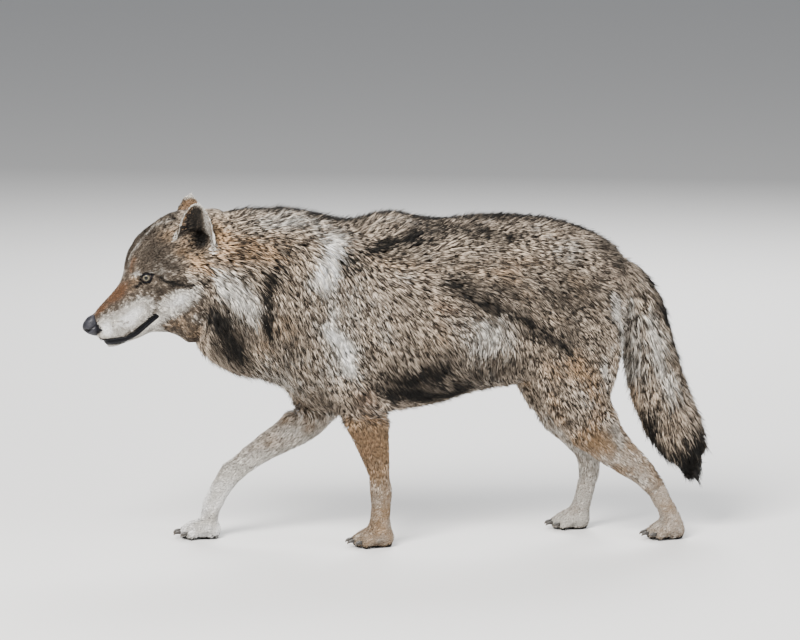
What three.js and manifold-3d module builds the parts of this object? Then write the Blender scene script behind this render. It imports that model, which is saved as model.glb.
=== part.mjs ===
// A grey wolf in mid-stride, life-size, as a still museum model. Millimetres, +Z up. The wolf faces -X with
// its left side towards -Y, and stands on the floor at z = 0.
//
// The flesh is one smooth field, negative inside. Straight profiles give the head and the trunk their
// outlines, bent tubes with oval sections follow the legs and the tail, and all of them blend softly into
// each other. Each region is drawn from that field on a grid of its own and parted by flat cuts, so that
// the nodes fit.
import * as THREE from "three";
import Module from "manifold-3d";

const wasm = await Module();
wasm.setup();

// ---------------------------------------------------------------- driving dimensions

const CUT_GAP = 0.4; // between two nodes that were one before a cut
const FIT_GAP = 0.8; // round a node that sits in another, such as the nose
const SPAN_STEPS = 6; // samples between two stations of a profile or a tube
const FAR = 90; // beyond this distance a primitive only says that it is far
const RIM = 0.04; // share of its cell that a vertex keeps clear of the cell's sides

// Grid cells, along X, Y and Z.
const CELL = {
  head: [15, 15, 15],
  neck: [42, 36, 38],
  trunk: [54, 38, 40],
  thigh: [33, 27, 34],
  leg: [23, 18, 32],
  paw: [18, 15, 19],
  tail: [29, 27, 42],
  nose: [9, 9, 9],
};

// The boxes in which the regions are drawn, from the lowest corner to the highest.
const ROOM = {
  head: [[-660, -127.5, 350], [-330, 127.5, 720]],
  nose: [[-650, -40, 400], [-560, 40, 490]],
  neck: [[-460, -150, 230], [-60, 150, 720]],
  trunk: [[-330, -150, 200], [500, 150, 700]],
  hindquarters: [[150, -160, 150], [540, 160, 640]],
  tail: [[350, -90, 60], [680, 90, 640]],
};

const COAT = {
  back: 0x6f6355,
  neck: 0x8f7c64,
  head: 0x86786a,
  jaw: 0xd8d2c8,
  leg: 0xc7a27c,
  pale: 0xc9c5bd,
  tail: 0x7d6d5e,
  ear: 0xa9886a,
  nose: 0x24222a,
  eye: 0xb9934a,
  claw: 0x2c2723,
};

// ---------------------------------------------------------------- the frame of the head

// The head is carried low, with the muzzle pointing down and forward. Its own axes are forward to the nose,
// sideways to the wolf's right and up through the forehead.
const HEAD_PITCH = THREE.MathUtils.degToRad(35.2);
const HEAD_CENTRE = [-411, 0, 577];

function headAxes() {
  const forward = new THREE.Vector3(-Math.cos(HEAD_PITCH), 0, -Math.sin(HEAD_PITCH));
  const side = new THREE.Vector3(0, 1, 0);
  const up = new THREE.Vector3().crossVectors(side, forward);
  return { forward, side, up };
}

// A point of the head's own frame, as millimetres forward, sideways and up, in the part's frame.
function onHead(forward, side, up) {
  const axes = headAxes();
  return new THREE.Vector3(...HEAD_CENTRE)
    .addScaledVector(axes.forward, forward)
    .addScaledVector(axes.side, side)
    .addScaledVector(axes.up, up);
}

// The ear stands on `base`, on the side of the skull, and `root` of it is buried below.
const EAR = {
  base: [-402, 60, 591],
  tip: [-403, 78, 679],
  facing: [-0.46, 0.88, 0],
  root: 0.34, // buried length as a share of the height
  wide: 42, // half-width at the base
  cup: 21, // depth of the hollow at the base
  thick: 6,
  points: 6, // across the hollow, and as many across the back
  levels: 7,
};

// The ear's own axes: up to the tip, facing out of its hollow, and across towards its outer edge. Its base and
// its rise tell where it stands. The sign is -1 for the left ear and 1 for the right one.
function earAxes(sign) {
  const mirrored = ([x, y, z]) => new THREE.Vector3(x, sign * y, z);
  const base = mirrored(EAR.base);
  const rise = mirrored(EAR.tip).sub(base);
  const up = rise.clone().normalize();
  const facing = mirrored(EAR.facing);
  facing.addScaledVector(up, -facing.dot(up)).normalize();
  const across = new THREE.Vector3().crossVectors(up, facing).multiplyScalar(-sign);
  return { base, rise, up, facing, across };
}

// ---------------------------------------------------------------- fields

// Catmull-Rom through rows of numbers, with the first and last rows repeated.
function sampled(rows, steps = SPAN_STEPS) {
  const out = [];
  const row = (i) => rows[Math.min(Math.max(i, 0), rows.length - 1)];
  for (let i = 0; i < rows.length - 1; i++)
    for (let s = 0; s < steps; s++) {
      const t = s / steps;
      out.push(
        rows[i].map((_, k) => {
          const [a, b, c, d] = [row(i - 1)[k], row(i)[k], row(i + 1)[k], row(i + 2)[k]];
          return (
            b + 0.5 * t * (c - a + t * (2 * a - 5 * b + 4 * c - d + t * (3 * (b - c) + d - a)))
          );
        }),
      );
    }
  out.push([...rows.at(-1)]);
  return out;
}

// Signed distance to an oval, from the offset's length and its size measured in half-axes.
function ovalDistance(length, size, least) {
  return size < 1e-6 ? -least : length * (1 - 1 / size);
}

// A body along a straight axis. Each station gives `along`, the outline's `top` and `bottom` and the
// half-width `side`. `lean` widens the section towards its top and narrows it towards its bottom.
function profile(stations, { origin, forward, side, up }, cap, power = 2.2) {
  const rows = sampled(
    stations.map((s) => [s.along, s.top, s.bottom, s.side, s.lean ?? 0]).sort((a, b) => a[0] - b[0]),
  );
  const first = rows[0][0];
  const last = rows.at(-1)[0];
  const offset = new THREE.Vector3();
  return (x, y, z) => {
    offset.set(x, y, z).sub(origin);
    const along = offset.dot(forward);
    const at = Math.min(Math.max(along, first), last);
    let low = 0;
    let high = rows.length - 1;
    while (high - low > 1) {
      const middle = (low + high) >> 1;
      if (rows[middle][0] <= at) low = middle;
      else high = middle;
    }
    const [a, b] = [rows[low], rows[high]];
    const t = (at - a[0]) / Math.max(b[0] - a[0], 1e-6);
    const top = a[1] + (b[1] - a[1]) * t;
    const bottom = a[2] + (b[2] - a[2]) * t;
    const deep = (top - bottom) / 2;
    const normal = offset.dot(up) - (top + bottom) / 2;
    const lean = (a[4] + (b[4] - a[4]) * t) * Math.min(Math.max(normal / deep, -1), 1);
    const wide = (a[3] + (b[3] - a[3]) * t) * (1 + lean);
    const sideways = offset.dot(side);
    const past = (along - at) / (along < first ? cap[0] : cap[1]);
    const shares = [sideways / wide, normal / deep, past];
    const size = shares.reduce((sum, share) => sum + Math.abs(share) ** power, 0) ** (1 / power);
    return ovalDistance(Math.hypot(sideways, normal, along - at), size, Math.min(wide, deep));
  };
}

// A bent body with oval sections. Each station gives its centre `at`, its half-width `side` across the wolf
// and its half-depth `deep`.
function tube(stations) {
  const rows = sampled(stations.map((s) => [...s.at, s.side, s.deep]));
  const reach = Math.max(...rows.map((r) => Math.max(r[3], r[4])));
  const box = [0, 1, 2].map((k) => {
    const values = rows.map((r) => r[k]);
    return [Math.min(...values) - reach, Math.max(...values) + reach];
  });
  const sidewards = new THREE.Vector3(0, 1, 0);
  const spans = rows.slice(1).map((b, i) => {
    const a = rows[i];
    const along = new THREE.Vector3(b[0] - a[0], b[1] - a[1], b[2] - a[2]);
    const length = along.length();
    along.normalize();
    const width = sidewards.clone().addScaledVector(along, -along.dot(sidewards)).normalize();
    return { a, b, along, length, width, normal: new THREE.Vector3().crossVectors(along, width) };
  });
  const offset = new THREE.Vector3();
  return (x, y, z) => {
    const outside = Math.hypot(
      ...[x, y, z].map((v, k) => Math.max(box[k][0] - v, 0, v - box[k][1])),
    );
    if (outside > FAR) return outside;
    let best = null;
    for (const span of spans) {
      offset.set(x - span.a[0], y - span.a[1], z - span.a[2]);
      const along = offset.dot(span.along);
      const t = Math.min(Math.max(along / span.length, 0), 1);
      offset.addScaledVector(span.along, -t * span.length);
      const gap = offset.lengthSq();
      if (!best || gap < best.gap) best = { gap, t, span, past: along - t * span.length };
    }
    const { span, t } = best;
    const value = (k) => span.a[k] + (span.b[k] - span.a[k]) * t;
    offset.set(x - value(0), y - value(1), z - value(2));
    const [wide, deep] = [value(3), value(4)];
    const least = Math.min(wide, deep);
    const size = Math.hypot(offset.dot(span.width) / wide, offset.dot(span.normal) / deep, best.past / least);
    return ovalDistance(offset.length(), size, least);
  };
}

// An ellipsoid whose axes are those of the part, or of the head.
function ellipsoid(centre, radii, axes = null) {
  const offset = new THREE.Vector3();
  const reach = Math.max(...radii);
  return (x, y, z) => {
    offset.set(x, y, z).sub(centre);
    const length = offset.length();
    if (length > FAR + reach) return length - reach;
    const size = axes
      ? Math.hypot(
          offset.dot(axes.forward) / radii[0],
          offset.dot(axes.side) / radii[1],
          offset.dot(axes.up) / radii[2],
        )
      : Math.hypot(offset.x / radii[0], offset.y / radii[1], offset.z / radii[2]);
    return ovalDistance(length, size, Math.min(...radii));
  };
}

function softUnion(a, b, blend) {
  const near = Math.max(blend - Math.abs(a - b), 0) / blend;
  return Math.min(a, b) - (near * near * blend) / 4;
}

// Joins fields one after another. Each entry is a field and the width of its blend with those before it.
function blended(entries) {
  return (x, y, z) =>
    entries.reduce((sum, [field, blend]) => {
      const value = field(x, y, z);
      return sum === null ? value : softUnion(sum, value, blend);
    }, null);
}

// ---------------------------------------------------------------- the wolf's shape

// Trunk and neck: `along` is X, and top and bottom are heights of the coat's outline above the floor.
function trunkField() {
  const stations = [
    { along: -468, top: 550, bottom: 424, side: 44, lean: 0 },
    { along: -430, top: 606, bottom: 408, side: 68, lean: 0 },
    { along: -392, top: 640, bottom: 374, side: 84, lean: 0.05 },
    { along: -353, top: 655, bottom: 343, side: 95, lean: 0.05 },
    { along: -312, top: 659, bottom: 326, side: 101, lean: 0.04 },
    { along: -255, top: 660, bottom: 319, side: 106, lean: 0.02 },
    { along: -205, top: 658, bottom: 283, side: 110, lean: 0.02 },
    { along: -156, top: 647, bottom: 260, side: 112, lean: 0.06 },
    { along: -112, top: 632, bottom: 254, side: 113, lean: 0.1 },
    { along: -60, top: 644, bottom: 253, side: 115, lean: 0.1 },
    { along: -16, top: 654, bottom: 254, side: 116, lean: 0.1 },
    { along: 25, top: 643, bottom: 258, side: 116, lean: 0.08 },
    { along: 55, top: 635, bottom: 262, side: 116, lean: 0.06 },
    { along: 119, top: 638, bottom: 280, side: 108, lean: 0.05 },
    { along: 184, top: 642, bottom: 293, side: 98, lean: 0.05 },
    { along: 244, top: 639, bottom: 305, side: 92, lean: 0.05 },
    { along: 300, top: 632, bottom: 345, side: 90, lean: 0 },
    { along: 351, top: 617, bottom: 395, side: 92, lean: -0.05 },
    { along: 395, top: 596, bottom: 425, side: 76, lean: -0.05 },
    { along: 425, top: 575, bottom: 455, side: 56, lean: 0 },
  ];
  const axes = {
    origin: new THREE.Vector3(0, 0, 0),
    forward: new THREE.Vector3(1, 0, 0),
    side: new THREE.Vector3(0, 1, 0),
    up: new THREE.Vector3(0, 0, 1),
  };
  return profile(stations, axes, [14, 18]);
}

// Skull, muzzle and closed jaw: `along` runs forward from the head's centre, and top and bottom are heights
// in the head's own frame.
function headField() {
  const axes = headAxes();
  const stations = [
    { along: -92, top: 26, bottom: -84, side: 72, lean: 0 },
    { along: -68, top: 46, bottom: -90, side: 76, lean: -0.1 },
    { along: -36, top: 72, bottom: -94, side: 75, lean: -0.28 },
    { along: 0, top: 86, bottom: -96, side: 72, lean: -0.42 },
    { along: 45, top: 86, bottom: -92, side: 64, lean: -0.36 },
    { along: 75, top: 81, bottom: -88, side: 55, lean: -0.26 },
    { along: 98, top: 70, bottom: -87, side: 46, lean: -0.16 },
    { along: 116, top: 56, bottom: -87, side: 41, lean: -0.14 },
    { along: 134, top: 37, bottom: -86, side: 37, lean: -0.16 },
    { along: 155, top: 26, bottom: -85, side: 35, lean: -0.2 },
    { along: 190, top: 18, bottom: -77, side: 31, lean: -0.2 },
    { along: 216, top: 12, bottom: -70, side: 28, lean: -0.16 },
    { along: 232, top: 5, bottom: -64, side: 24.5, lean: -0.1 },
  ];
  const origin = new THREE.Vector3(...HEAD_CENTRE);
  const skull = profile(stations, { origin, ...axes }, [24, 9], 2.3);
  const pairs = (forward, side, up, radii) =>
    [-side, side].map((v) => ellipsoid(onHead(forward, v, up), radii, axes));
  const brow = pairs(88, 32, 34, [24, 15, 15]);
  const cheekbone = pairs(44, 50, -18, [42, 24, 30]);
  const ruff = pairs(4, 58, -56, [52, 33, 46]);
  const lip = pairs(196, 20, -38, [44, 16, 20]);
  const whole = blended([
    [skull, 0],
    ...brow.map((f) => [f, 18]),
    ...cheekbone.map((f) => [f, 24]),
    ...ruff.map((f) => [f, 34]),
    ...lip.map((f) => [f, 12]),
  ]);
  const wells = [-1, 1].map(earWell);
  return (x, y, z) => Math.max(whole(x, y, z), ...wells.map((well) => -well(x, y, z)));
}

// The hollow that runs from the ear down into the side of the head.
function earWell(sign) {
  const { base, up, facing, across } = earAxes(sign);
  const centre = base.addScaledVector(up, 22).addScaledVector(facing, 14);
  return ellipsoid(centre, [24, 30, 36], { forward: facing, side: across, up });
}

// Legs. Each joint's station is its centre and half-sizes: across the wolf, then from front to back.
const LEGS = {
  foreleg_left: {
    hind: false,
    stations: [
      { at: [-170, -66, 430], side: 42, deep: 74 },
      { at: [-118, -70, 350], side: 42, deep: 66 },
      { at: [-88, -70, 292], side: 37, deep: 55 },
      { at: [-72, -69, 240], side: 31, deep: 43 },
      { at: [-60, -68, 190], side: 26, deep: 32 },
      { at: [-51, -67, 145], side: 22, deep: 24 },
      { at: [-47, -67, 112], side: 22, deep: 23 },
      { at: [-46, -68, 80], side: 21, deep: 20 },
      { at: [-50, -69, 44], side: 23, deep: 20 },
    ],
    paw: { at: [-58, -70, 0], length: 106, width: 78, heading: 2 },
  },
  foreleg_right: {
    hind: false,
    stations: [
      { at: [-190, 64, 400], side: 42, deep: 74 },
      { at: [-165, 68, 320], side: 40, deep: 66 },
      { at: [-160, 69, 262], side: 36, deep: 52 },
      { at: [-190, 68, 218], side: 30, deep: 39 },
      { at: [-240, 66, 188], side: 25, deep: 30 },
      { at: [-288, 64, 157], side: 22, deep: 25.5 },
      { at: [-322, 63, 131], side: 22, deep: 24 },
      { at: [-345, 63, 100], side: 21, deep: 21 },
      { at: [-366, 64, 60], side: 23, deep: 20 },
    ],
    paw: { at: [-382, 65, 0], length: 106, width: 78, heading: -4 },
  },
  hindleg_left: {
    hind: true,
    stations: [
      { at: [360, -46, 500], side: 46, deep: 88 },
      { at: [348, -56, 420], side: 45, deep: 96 },
      { at: [336, -63, 345], side: 42, deep: 90 },
      { at: [345, -68, 280], side: 36, deep: 76 },
      { at: [372, -68, 226], side: 30, deep: 54 },
      { at: [418, -67, 176], side: 24, deep: 38 },
      { at: [462, -66, 140], side: 20, deep: 30 },
      { at: [492, -66, 108], side: 19, deep: 23 },
      { at: [512, -66, 72], side: 18, deep: 19 },
      { at: [530, -67, 40], side: 20, deep: 19 },
    ],
    paw: { at: [520, -68, 0], length: 96, width: 70, heading: 2 },
  },
  hindleg_right: {
    hind: true,
    stations: [
      { at: [352, 46, 500], side: 46, deep: 88 },
      { at: [330, 56, 420], side: 45, deep: 96 },
      { at: [305, 63, 350], side: 42, deep: 82 },
      { at: [308, 67, 290], side: 36, deep: 66 },
      { at: [332, 67, 236], side: 30, deep: 50 },
      { at: [364, 66, 190], side: 24, deep: 36 },
      { at: [386, 65, 152], side: 20, deep: 27 },
      { at: [387, 65, 112], side: 19, deep: 22 },
      { at: [380, 65, 72], side: 18, deep: 19 },
      { at: [370, 66, 40], side: 20, deep: 19 },
    ],
    paw: { at: [354, 66, 0], length: 96, width: 70, heading: -2 },
  },
};

// The toes as places in the paw's own frame, in shares of its length and width, from one side to the other.
const TOES = [
  { side: -0.34, root: -0.16, tip: 0.3 },
  { side: -0.125, root: -0.06, tip: 0.42 },
  { side: 0.125, root: -0.06, tip: 0.42 },
  { side: 0.34, root: -0.16, tip: 0.3 },
];

// Places in a paw, which points towards -X and turns by its heading in degrees.
function onPaw(paw, forward, side, up) {
  const turn = THREE.MathUtils.degToRad(paw.heading);
  const along = forward * paw.length;
  const across = side * paw.width;
  return [
    paw.at[0] - along * Math.cos(turn) - across * Math.sin(turn),
    paw.at[1] - along * Math.sin(turn) + across * Math.cos(turn),
    up,
  ];
}

function legField(leg) {
  const { paw } = leg;
  const palm = onPaw(paw, -0.08, 0, 17);
  return blended([
    [tube(leg.stations), 0],
    [ellipsoid(new THREE.Vector3(...palm), [paw.length * 0.3, paw.width * 0.43, 24]), 16],
  ]);
}

// The tail hangs behind the thighs and widens to a full brush.
function tailField() {
  return tube([
    { at: [418, 0, 525], side: 40, deep: 44 },
    { at: [462, 0, 478], side: 44, deep: 50 },
    { at: [484, 0, 420], side: 47, deep: 53 },
    { at: [496, 0, 350], side: 50, deep: 57 },
    { at: [516, 0, 280], side: 52, deep: 60 },
    { at: [546, 0, 212], side: 51, deep: 59 },
    { at: [572, 0, 158], side: 42, deep: 47 },
    { at: [584, 0, 122], side: 22, deep: 25 },
  ]);
}

const trunk = trunkField();
const head = headField();
const legs = Object.fromEntries(Object.entries(LEGS).map(([name, leg]) => [name, legField(leg)]));
const tail = tailField();
const flesh = blended([
  [trunk, 0],
  [head, 30],
  [legs.foreleg_left, 26],
  [legs.foreleg_right, 26],
  [legs.hindleg_left, 34],
  [legs.hindleg_right, 34],
]);

// ---------------------------------------------------------------- from a field to a solid

function solidOf(positions, triangles) {
  const mesh = new wasm.Mesh({
    numProp: 3,
    vertProperties: new Float32Array(positions),
    triVerts: new Uint32Array(triangles),
  });
  return new wasm.Manifold(mesh);
}

function slope(field, p, step = 0.5) {
  const [x, y, z] = p;
  return [
    (field(x + step, y, z) - field(x - step, y, z)) / (2 * step),
    (field(x, y + step, z) - field(x, y - step, z)) / (2 * step),
    (field(x, y, z + step) - field(x, y, z - step)) / (2 * step),
  ];
}

// Moves a point onto the field's surface without leaving its grid cell.
function settled(field, point, start, cell) {
  const p = [...point];
  for (let pass = 0; pass < 3; pass++) {
    const value = field(...p);
    const g = slope(field, p);
    const size = g[0] ** 2 + g[1] ** 2 + g[2] ** 2;
    if (size < 1e-6) break;
    g.forEach((v, k) => {
      const [least, most] = [start[k] + RIM * cell[k], start[k] + (1 - RIM) * cell[k]];
      p[k] = Math.min(Math.max(p[k] - (value * v) / size, least), most);
    });
  }
  return p;
}

// Draws the field's surface inside a box by surface nets: one vertex in each grid cell that the surface
// crosses, and one quad round each grid edge that it cuts. The box closes what it cuts off.
function drawn(field, low, high, cell) {
  const counts = low.map((v, k) => Math.ceil((high[k] - v) / cell[k]) + 1);
  const [nx, ny, nz] = counts;
  const place = (i, j, k) => [low[0] + i * cell[0], low[1] + j * cell[1], low[2] + k * cell[2]];
  const index = (i, j, k) => i + nx * (j + ny * k);
  const values = new Float64Array(nx * ny * nz);
  for (let k = 0; k < nz; k++)
    for (let j = 0; j < ny; j++)
      for (let i = 0; i < nx; i++) {
        const edge = i === 0 || j === 0 || k === 0 || i === nx - 1 || j === ny - 1 || k === nz - 1;
        const value = field(...place(i, j, k));
        values[index(i, j, k)] = edge ? Math.max(value, 0.2 * cell[0]) : value;
      }

  const positions = [];
  const vertexOf = new Map();
  const corners = [];
  for (let c = 0; c < 8; c++) corners.push([c & 1, (c >> 1) & 1, (c >> 2) & 1]);
  for (let k = 0; k < nz - 1; k++)
    for (let j = 0; j < ny - 1; j++)
      for (let i = 0; i < nx - 1; i++) {
        const at = corners.map(([a, b, c]) => values[index(i + a, j + b, k + c)]);
        if (at.every((v) => v < 0) || at.every((v) => v >= 0)) continue;
        const sum = [0, 0, 0];
        let crossings = 0;
        for (let a = 0; a < 8; a++)
          for (let b = a + 1; b < 8; b++) {
            const apart = a ^ b;
            if (apart & (apart - 1) || at[a] < 0 === at[b] < 0) continue;
            const t = at[a] / (at[a] - at[b]);
            for (let axis = 0; axis < 3; axis++)
              sum[axis] += corners[a][axis] + t * (corners[b][axis] - corners[a][axis]);
            crossings++;
          }
        const start = place(i, j, k);
        const point = start.map((v, axis) => v + (sum[axis] / crossings) * cell[axis]);
        const inner = i > 0 && j > 0 && k > 0 && i < nx - 2 && j < ny - 2 && k < nz - 2;
        vertexOf.set(index(i, j, k), positions.length / 3);
        positions.push(...(inner ? settled(field, point, start, cell) : point));
      }

  const triangles = [];
  const distance = (a, b) =>
    Math.hypot(...[0, 1, 2].map((axis) => positions[3 * a + axis] - positions[3 * b + axis]));
  const steps = [1, nx, nx * ny];
  for (let k = 0; k < nz - 1; k++)
    for (let j = 0; j < ny - 1; j++)
      for (let i = 0; i < nx - 1; i++)
        for (let axis = 0; axis < 3; axis++) {
          const here = index(i, j, k);
          const inside = values[here] < 0;
          if (inside === values[here + steps[axis]] < 0) continue;
          const u = steps[(axis + 1) % 3];
          const v = steps[(axis + 2) % 3];
          const ring = [here, here - u, here - u - v, here - v].map((c) => vertexOf.get(c));
          if (!inside) ring.reverse();
          const [a, b, c, d] = ring;
          if (distance(a, c) <= distance(b, d)) triangles.push(a, b, c, a, c, d);
          else triangles.push(a, b, d, b, c, d);
        }
  return solidOf(positions, triangles);
}

// ---------------------------------------------------------------- solids made from rings

// A closed body through rings of points, all with the same count, closed by a fan at each end.
function lofted(rings) {
  const count = rings[0].length;
  const positions = rings.flat(2);
  const triangles = [];
  for (let r = 0; r < rings.length - 1; r++)
    for (let s = 0; s < count; s++) {
      const [a, b] = [r * count + s, r * count + ((s + 1) % count)];
      triangles.push(a, b, b + count, a, b + count, a + count);
    }
  const middle = (ring) => [0, 1, 2].map((k) => ring.reduce((sum, p) => sum + p[k], 0) / count);
  const first = positions.length / 3;
  positions.push(...middle(rings[0]), ...middle(rings.at(-1)));
  const top = (rings.length - 1) * count;
  for (let s = 0; s < count; s++) {
    const next = (s + 1) % count;
    triangles.push(first, next, s, first + 1, top + s, top + next);
  }
  const solid = solidOf(positions, triangles);
  return solid.volume() < 0 ? flipped(positions, triangles) : solid;
}

function flipped(positions, triangles) {
  const turned = [];
  for (let i = 0; i < triangles.length; i += 3)
    turned.push(triangles[i], triangles[i + 2], triangles[i + 1]);
  return solidOf(positions, turned);
}

// ---------------------------------------------------------------- ears

// Half-width of the ear at a share of its height: full above the base and round at the tip.
function earWidth(share) {
  const up = Math.min(Math.max(share, 0), 0.995);
  return EAR.wide * (1 - up ** 2.2) ** 0.6 * (1 + Math.min(share, 0) * 0.4);
}

// One cupped ear. Its hollow faces to the wolf's side and a little forward, and its back bulges.
function ear(sign) {
  const { base, rise, facing, across } = earAxes(sign);
  const steps = Array.from({ length: EAR.points }, (_, i) => (2 * i) / (EAR.points - 1) - 1);
  const rings = [];
  for (let level = 0; level <= EAR.levels; level++) {
    const share = -EAR.root + (1 + EAR.root) * Math.sin((Math.PI / 2) * (level / EAR.levels));
    const wide = earWidth(share);
    const cup = EAR.cup * (1 - 0.7 * share);
    const thick = EAR.thick * (1 - 0.3 * share);
    const centre = base.clone().addScaledVector(rise, share);
    const point = (s, back) => {
      const lift = cup * (s * s - 0.5) - (back ? thick * (1 - 0.4 * s * s) : 0);
      return centre.clone().addScaledVector(across, s * wide).addScaledVector(facing, lift).toArray();
    };
    rings.push([
      ...steps.map((s) => point(s, false)),
      ...[...steps].reverse().map((s) => point(s, true)),
    ]);
  }
  return lofted(rings);
}

// ---------------------------------------------------------------- eyes, nose and claws

const EYE = { radius: 12.5, forward: 95.5, side: 37.5, up: 12.5 };

function ball(centre, radius) {
  const sphere = new THREE.SphereGeometry(radius, 8, 6);
  const positions = [];
  const triangles = [];
  const merged = new Map();
  const at = sphere.getAttribute("position");
  const kept = [];
  for (let i = 0; i < at.count; i++) {
    const p = [at.getX(i), at.getY(i), at.getZ(i)];
    const key = p.map((v) => Math.round(v * 1000)).join();
    if (!merged.has(key)) {
      merged.set(key, positions.length / 3);
      positions.push(p[0] + centre.x, p[1] + centre.y, p[2] + centre.z);
    }
    kept.push(merged.get(key));
  }
  const index = sphere.index.array;
  for (let i = 0; i < index.length; i += 3) {
    const [a, b, c] = [kept[index[i]], kept[index[i + 1]], kept[index[i + 2]]];
    if (a !== b && b !== c && a !== c) triangles.push(a, b, c);
  }
  return solidOf(positions, triangles);
}

// The bare pad at the muzzle's end: a rounded wedge with a full upper edge.
function noseField() {
  const axes = headAxes();
  return blended([
    [ellipsoid(onHead(239, 0, -6), [18, 17.5, 15], axes), 0],
    [ellipsoid(onHead(239, 0, -18), [9, 12, 12], axes), 8],
    [ellipsoid(onHead(231, 0, 3), [12, 14, 8], axes), 6],
  ]);
}

// A closed body of round sections in a paw. Each station is a place forward and sideways in shares of the
// paw, the height of its centre, and its half-width and half-height.
function digit(paw, stations, sides) {
  return lofted(
    stations.map(([forward, side, up, wide, high]) =>
      Array.from({ length: sides }, (_, i) => {
        const turn = (2 * Math.PI * (i + 0.5)) / sides;
        const across = side + (wide * Math.cos(turn)) / paw.width;
        return onPaw(paw, forward, across, up + high * Math.sin(turn));
      }),
    ),
  );
}

// A toe arches over its knuckle and comes down on a pad that the floor flattens.
function toeOf(paw, { side, root, tip }) {
  const size = paw.width / 78;
  const rows = [
    [root, 0.92, 25, 9, 11],
    [root + 0.45 * (tip - root), 1.03, 23, 12.5, 15],
    [tip - 0.08, 1.1, 12.5, 12, 14.5],
    [tip, 1.1, 12.5, 6.5, 8],
  ];
  return digit(
    paw,
    rows.map(([forward, spread, up, wide, high]) => [forward, side * spread, up, wide * size, high]),
    6,
  );
}

// A blunt claw bends down and forward from the end of its toe.
function clawOf(paw, { side, tip }) {
  const start = tip + FIT_GAP / paw.length;
  const long = 18 / paw.length;
  const rows = [
    [start, 13, 3.8, 5.2],
    [start + 0.55 * long, 12, 3.3, 4.6],
    [start + long, 6, 1.2, 1.6],
  ];
  return digit(
    paw,
    rows.map(([forward, up, wide, high]) => [forward, side * 1.1, up, wide, high]),
    5,
  );
}

// ---------------------------------------------------------------- cuts

// A flat cut: `before` keeps the side that the normal points to.
const CUTS = {
  headFromNeck: { normal: [-0.972, 0, 0.234], through: [-378, 0, 540] },
  neckFromTrunk: { normal: [-0.89, 0, 0.456], through: [-185, 0, 480] },
  trunkFromForelegs: { normal: [0, 0, 1], through: [0, 0, 244] },
  trunkFromHindlegs: { normal: [-0.72, 0, 0.694], through: [225, 0, 349] },
  leftFromRight: { normal: [0, -1, 0], through: [0, 0, 0] },
};

// The stations at which the legs are cut.
const WRIST = 6;
const KNEE = 4;
const HOCK = 7;

function offsetOf({ normal, through }) {
  return normal.reduce((sum, v, k) => sum + v * through[k], 0) / Math.hypot(...normal);
}

function before(solid, cut) {
  return solid.trimByPlane(cut.normal, offsetOf(cut) + CUT_GAP / 2);
}

function behind(solid, cut) {
  return solid.trimByPlane(
    cut.normal.map((v) => -v),
    -offsetOf(cut) + CUT_GAP / 2,
  );
}

// The closed mouth's line in the head's own frame: level from its corner to the bend, then rising over the
// chin. `clear` lies outside the head on every side.
const MOUTH = {
  corner: 128,
  bend: { forward: 199, up: -66 },
  chin: { forward: 250, up: -37 },
  clear: { forward: 300, side: 90, down: -180 },
};

// All below the closed mouth, as a block across the head.
function belowMouth(grow) {
  const { corner, bend, chin, clear } = MOUTH;
  const outline = [
    [corner - grow, bend.up + grow],
    [bend.forward - grow, bend.up + grow],
    [chin.forward, chin.up + grow],
    [clear.forward, chin.up + grow],
    [clear.forward, clear.down],
    [corner - grow, clear.down],
  ];
  const edge = (side) => outline.map(([forward, up]) => onHead(forward, side, up).toArray());
  return lofted([edge(-clear.side), edge(clear.side)]);
}

// The largest body of a solid, without the crumbs that a cut may leave.
function whole(solid) {
  return solid.decompose().reduce((best, body) => (body.volume() > best.volume() ? body : best));
}

// The same body on the wolf's other side.
function otherSide(solid) {
  const { numVert, numProp, vertProperties, triVerts } = solid.getMesh();
  const positions = [];
  for (let i = 0; i < numVert; i++) {
    const [x, y, z] = vertProperties.subarray(i * numProp, i * numProp + 3);
    positions.push(x, -y, z);
  }
  return flipped(positions, triVerts);
}

// A cut square across a leg at one of its stations.
function acrossLeg(leg, index) {
  const [a, b] = [leg.stations[index - 1].at, leg.stations[index + 1].at];
  return { normal: a.map((v, k) => v - b[k]), through: leg.stations[index].at };
}

// ---------------------------------------------------------------- building the nodes

const wolf = new THREE.Group();

function addNode(name, solid, colour, roughness = 0.9) {
  const mesh = whole(solid).getMesh();
  const geometry = new THREE.BufferGeometry();
  const positions = new Float32Array(mesh.numVert * 3);
  for (let i = 0; i < mesh.numVert; i++)
    positions.set(mesh.vertProperties.subarray(i * mesh.numProp, i * mesh.numProp + 3), i * 3);
  geometry.setAttribute("position", new THREE.BufferAttribute(positions, 3));
  geometry.setIndex(new THREE.BufferAttribute(mesh.triVerts, 1));
  geometry.computeVertexNormals();
  const material = new THREE.MeshStandardMaterial({ color: colour, roughness, metalness: 0 });
  const node = new THREE.Mesh(geometry, material);
  node.name = name;
  wolf.add(node);
}

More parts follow.
